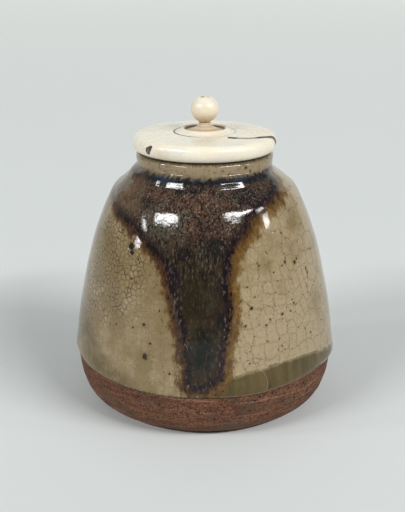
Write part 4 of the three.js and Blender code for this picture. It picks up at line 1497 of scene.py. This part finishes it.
class TEAJAR_OT_lid_plug(TeaJarStep, bpy.types.Operator):
    """Turn the centre plug with its raised lip, stepped well and stem"""

    bl_idname = "tea_jar.lid_plug"
    bl_label = "Lid plug"

    def build(self, context):
        lid = self.lid
        _, ceiling, top, crown = lid_levels(lid)
        stem_top = top + lid.stem_height
        socket_end = stem_top - lid.peg_socket
        radius = lid.plug_radius
        lip = at(lid.plug_lip_radius, crown + lid.plug_lip_height)
        well = at(lid.plug_lip_radius - lid.well_wall, lip.y - lid.well_depth)
        bore = lid.peg_radius + lid.peg_clearance
        slope = smooth_path(shares_between(at(radius - lid.plug_chamfer, crown), lip,
                                           PLUG_SLOPE_SHARES), 6)
        stem = shares_between(well, at(lid.stem_radius, stem_top), STEM_SHARES)[:-1]
        flare = lid.stem_radius + lid.stem_flare
        corners = [
            (at(radius, ceiling), 0.1),
            (at(radius, crown - lid.plug_chamfer), 0.04),
            *((place, 0.0) for place in slope[:-1]),
            (lip, 0.16),
            (stem[0], 0.2),
            *((place, 0.12) for place in stem[1:-1]),
            (stem[-1], 0.3),
            (at(flare, stem_top - lid.stem_flare), 0.05),
            (at(flare, stem_top), 0.03),
            (at(bore, stem_top), 0.03),
            (at(bore, socket_end), 0.05),
        ]
        outline = [at(0, ceiling),
                   *respaced([at(1.0, ceiling), at(radius - 1, ceiling)], LID_STEPS.ceiling),
                   *rounded(corners), at(0, socket_end)]
        bm, _ = outline_mesh(outline, self.detail.small_segments)
        material = plug_material(self.colours, lid)
        add_piece(bm, "lid_plug", material, "lid_centre_plug", "lid")


class TEAJAR_OT_knob(TeaJarStep, bpy.types.Operator):
    """Turn the bead, drill it and drive its peg"""

    bl_idname = "tea_jar.knob"
    bl_label = "Knob bead and peg"

    def build(self, context):
        lid = self.lid
        bottom, top = BEAD_LOW.z / MM, BEAD_HIGH.z / MM
        centre = bottom + math.sqrt(lid.bead_radius ** 2 - lid.bead_seat ** 2)
        bore = lid.peg_radius + lid.peg_clearance
        start = -math.acos(lid.bead_seat / lid.bead_radius) / (math.pi / 2)
        end = math.asin((top - centre) / lid.bead_radius) / (math.pi / 2)
        ball = arc(at(0, centre), lid.bead_radius, lid.bead_radius, start, end, 56)
        ball[-1] += at(-0.12, -0.01)
        sink = lid.bead_countersink
        outline = [at(bore, bottom + 0.05), at(bore + 0.05, bottom), *ball,
                   at(bore + sink + 0.1, top), at(bore + sink, top - 0.04), at(bore, top - sink)]
        bm, _ = outline_mesh(outline, self.detail.bead_segments, closed=True)
        for vert in bm.verts:
            away = vert.co - Vector((0, 0, centre))
            if away.length > lid.bead_radius * 0.9:
                vert.co += away.normalized() * BEAD_WEAR * (noise.noise(vert.co * 0.35) - 1)
        material = knob_material("knob bead", self.colours, top, bore + sink)
        add_piece(bm, "bead", material, "knob_bead", "lid")

        foot, head = PEG_LOW.z / MM, PEG_HIGH.z / MM
        crown = arc(at(0, head - 0.2), lid.peg_radius, 0.2, 0, 1, 8)
        shaft = [at(lid.peg_radius, foot + 0.3), crown[0] - at(0, 0.1)]
        outline = [at(0, foot), at(lid.peg_radius - 0.08, foot), at(lid.peg_radius, foot + 0.08),
                   *respaced(shaft, LID_STEPS.peg), *crown]
        bm, _ = outline_mesh(outline, self.detail.bead_segments // 2)
        material = knob_material("knob peg", self.colours, head, lid.peg_radius)
        add_piece(bm, "peg", material, "knob_peg", "lid")


class TEAJAR_OT_gold_leaf(TeaJarStep, bpy.types.Operator):
    """Glue the gold-leafed paper under the lid"""

    bl_idname = "tea_jar.gold_leaf"
    bl_label = "Gold leaf lining"

    def build(self, context):
        radius = LINING_HIGH.x / MM
        low, high = LINING_LOW.z / MM, LINING_HIGH.z / MM
        thickness = high - low
        outline = [*respaced([at(0, low), at(radius - 0.1, low)], LID_STEPS.leaf),
                   *arc(at(radius - thickness / 2, (low + high) / 2), thickness / 2, thickness / 2,
                        -0.8, 0.8, 4),
                   *respaced([at(radius - 0.3, high), at(0, high)], LID_STEPS.leaf_back)]
        bm, _ = outline_mesh(outline, self.detail.small_segments)
        for vert in bm.verts:
            co = vert.co
            if co.z < low + thickness / 3:
                folds = noise.noise(co * 0.55) + 0.4 * noise.noise(co * 1.5)
                co.z += LEAF_WRINKLE * clamp(folds + 0.5)
        material = gold_material(self.colours)
        add_piece(bm, "gold_lining", material, "gold_leaf_lining", "lid")


class TEAJAR_OT_stage(TeaJarStep, bpy.types.Operator):
    """Lay seamless paper, hang the soft lights and set the camera"""

    bl_idname = "tea_jar.stage"
    bl_label = "Stage"

    def build(self, context):
        self.paper()
        for name, light in SOFT_LIGHTS.items():
            self.light(context, name, *light)
        world = bpy.data.worlds.new("room")
        world.use_nodes = True
        sky = world.node_tree.nodes["Background"]
        sky.inputs["Color"].default_value = ROOM_COLOUR
        sky.inputs["Strength"].default_value = ROOM_STRENGTH
        context.scene.world = world
        camera = bpy.data.cameras.new("camera")
        camera.lens = FOCAL_LENGTH * SENSOR / PICTURE_HEIGHT
        view = bpy.data.objects.new("camera", camera)
        view.location = CAMERA_PLACE
        view.rotation_euler = (math.radians(90 - CAMERA_DOWN), 0, 0)
        context.scene.collection.objects.link(view)
        context.scene.camera = view
        context.scene.view_settings.view_transform = "Standard"

    def paper(self):
        bm = bmesh.new()
        bend = arc(at(PAPER.bend, PAPER.radius), PAPER.radius, PAPER.radius, -1, 0, 24)
        outline = [at(PAPER.front, 0), at(PAPER.bend, 0), *bend[1:],
                   at(PAPER.bend + PAPER.radius, PAPER.top)]
        verts = [bm.verts.new((-PAPER.half_width, place.x, place.y)) for place in outline]
        edges = [bm.edges.new(pair) for pair in zip(verts, verts[1:])]
        grown = bmesh.ops.extrude_edge_only(bm, edges=edges)
        bmesh.ops.translate(bm, vec=(2 * PAPER.half_width, 0, 0), verts=verts_in(grown))
        bmesh.ops.recalc_face_normals(bm, faces=bm.faces)
        bm.faces.ensure_lookup_table()
        if bm.faces[0].normal.z < 0:
            bmesh.ops.reverse_faces(bm, faces=bm.faces)
        link_mesh(bm, "paper", paper_material(self.colours))

    def light(self, context, name, around, up, wide, tall, turned, bright):
        around, up = math.radians(around), math.radians(up)
        away = Vector((math.sin(around) * math.cos(up), -math.cos(around) * math.cos(up),
                       math.sin(up)))
        lamp = bpy.data.lights.new(name, "AREA")
        lamp.shape = "RECTANGLE"
        lamp.size = 2 * LIGHT_DISTANCE * math.tan(math.radians(wide / 2))
        lamp.size_y = 2 * LIGHT_DISTANCE * math.tan(math.radians(tall / 2))
        lamp.energy = bright * math.pi * lamp.size * lamp.size_y
        light = bpy.data.objects.new(name, lamp)
        light.location = LIGHT_AIM + away * LIGHT_DISTANCE
        facing = away.to_track_quat("Z", "Y")
        light.rotation_euler = (facing @ Quaternion((0, 0, 1), math.radians(turned))).to_euler()
        context.scene.collection.objects.link(light)


class TEAJAR_PT_panel(bpy.types.Panel):
    """Lists the steps of the build and what they read"""

    bl_label = "Lidded tea jar"
    bl_idname = "TEAJAR_PT_panel"
    bl_space_type = "VIEW_3D"
    bl_region_type = "UI"
    bl_category = "Tea jar"

    def draw(self, context):
        layout = self.layout
        for step in STEPS:
            layout.operator(step.bl_idname)
        for name, group in GROUPS.items():
            box = layout.box()
            box.label(text=group.__doc__)
            values = getattr(context.scene, name)
            for value in group.__annotations__:
                box.prop(values, value)


STEPS = (TEAJAR_OT_clay, TEAJAR_OT_ash_glaze, TEAJAR_OT_iron_run, TEAJAR_OT_lid_ring,
         TEAJAR_OT_lid_plug, TEAJAR_OT_knob, TEAJAR_OT_gold_leaf, TEAJAR_OT_stage)
GROUPS = {
    "tea_jar_sizes": TeaJarSizes,
    "tea_jar_lid_sizes": TeaJarLidSizes,
    "tea_jar_detail": TeaJarDetail,
    "tea_jar_colours": TeaJarColours,
}


def register():
    for name, group in GROUPS.items():
        bpy.utils.register_class(group)
        setattr(bpy.types.Scene, name, PointerProperty(type=group))
    for step in (*STEPS, TEAJAR_PT_panel):
        bpy.utils.register_class(step)


def unregister():
    for step in reversed((*STEPS, TEAJAR_PT_panel)):
        bpy.utils.unregister_class(step)
    for name, group in reversed(GROUPS.items()):
        delattr(bpy.types.Scene, name)
        bpy.utils.unregister_class(group)


def main():
    register()
    bpy.ops.tea_jar.clay()
    bpy.ops.tea_jar.ash_glaze()
    bpy.ops.tea_jar.iron_run()
    bpy.ops.tea_jar.lid_ring()
    bpy.ops.tea_jar.lid_plug()
    bpy.ops.tea_jar.knob()
    bpy.ops.tea_jar.gold_leaf()
    bpy.ops.tea_jar.stage()


if __name__ == "__main__":
    main()
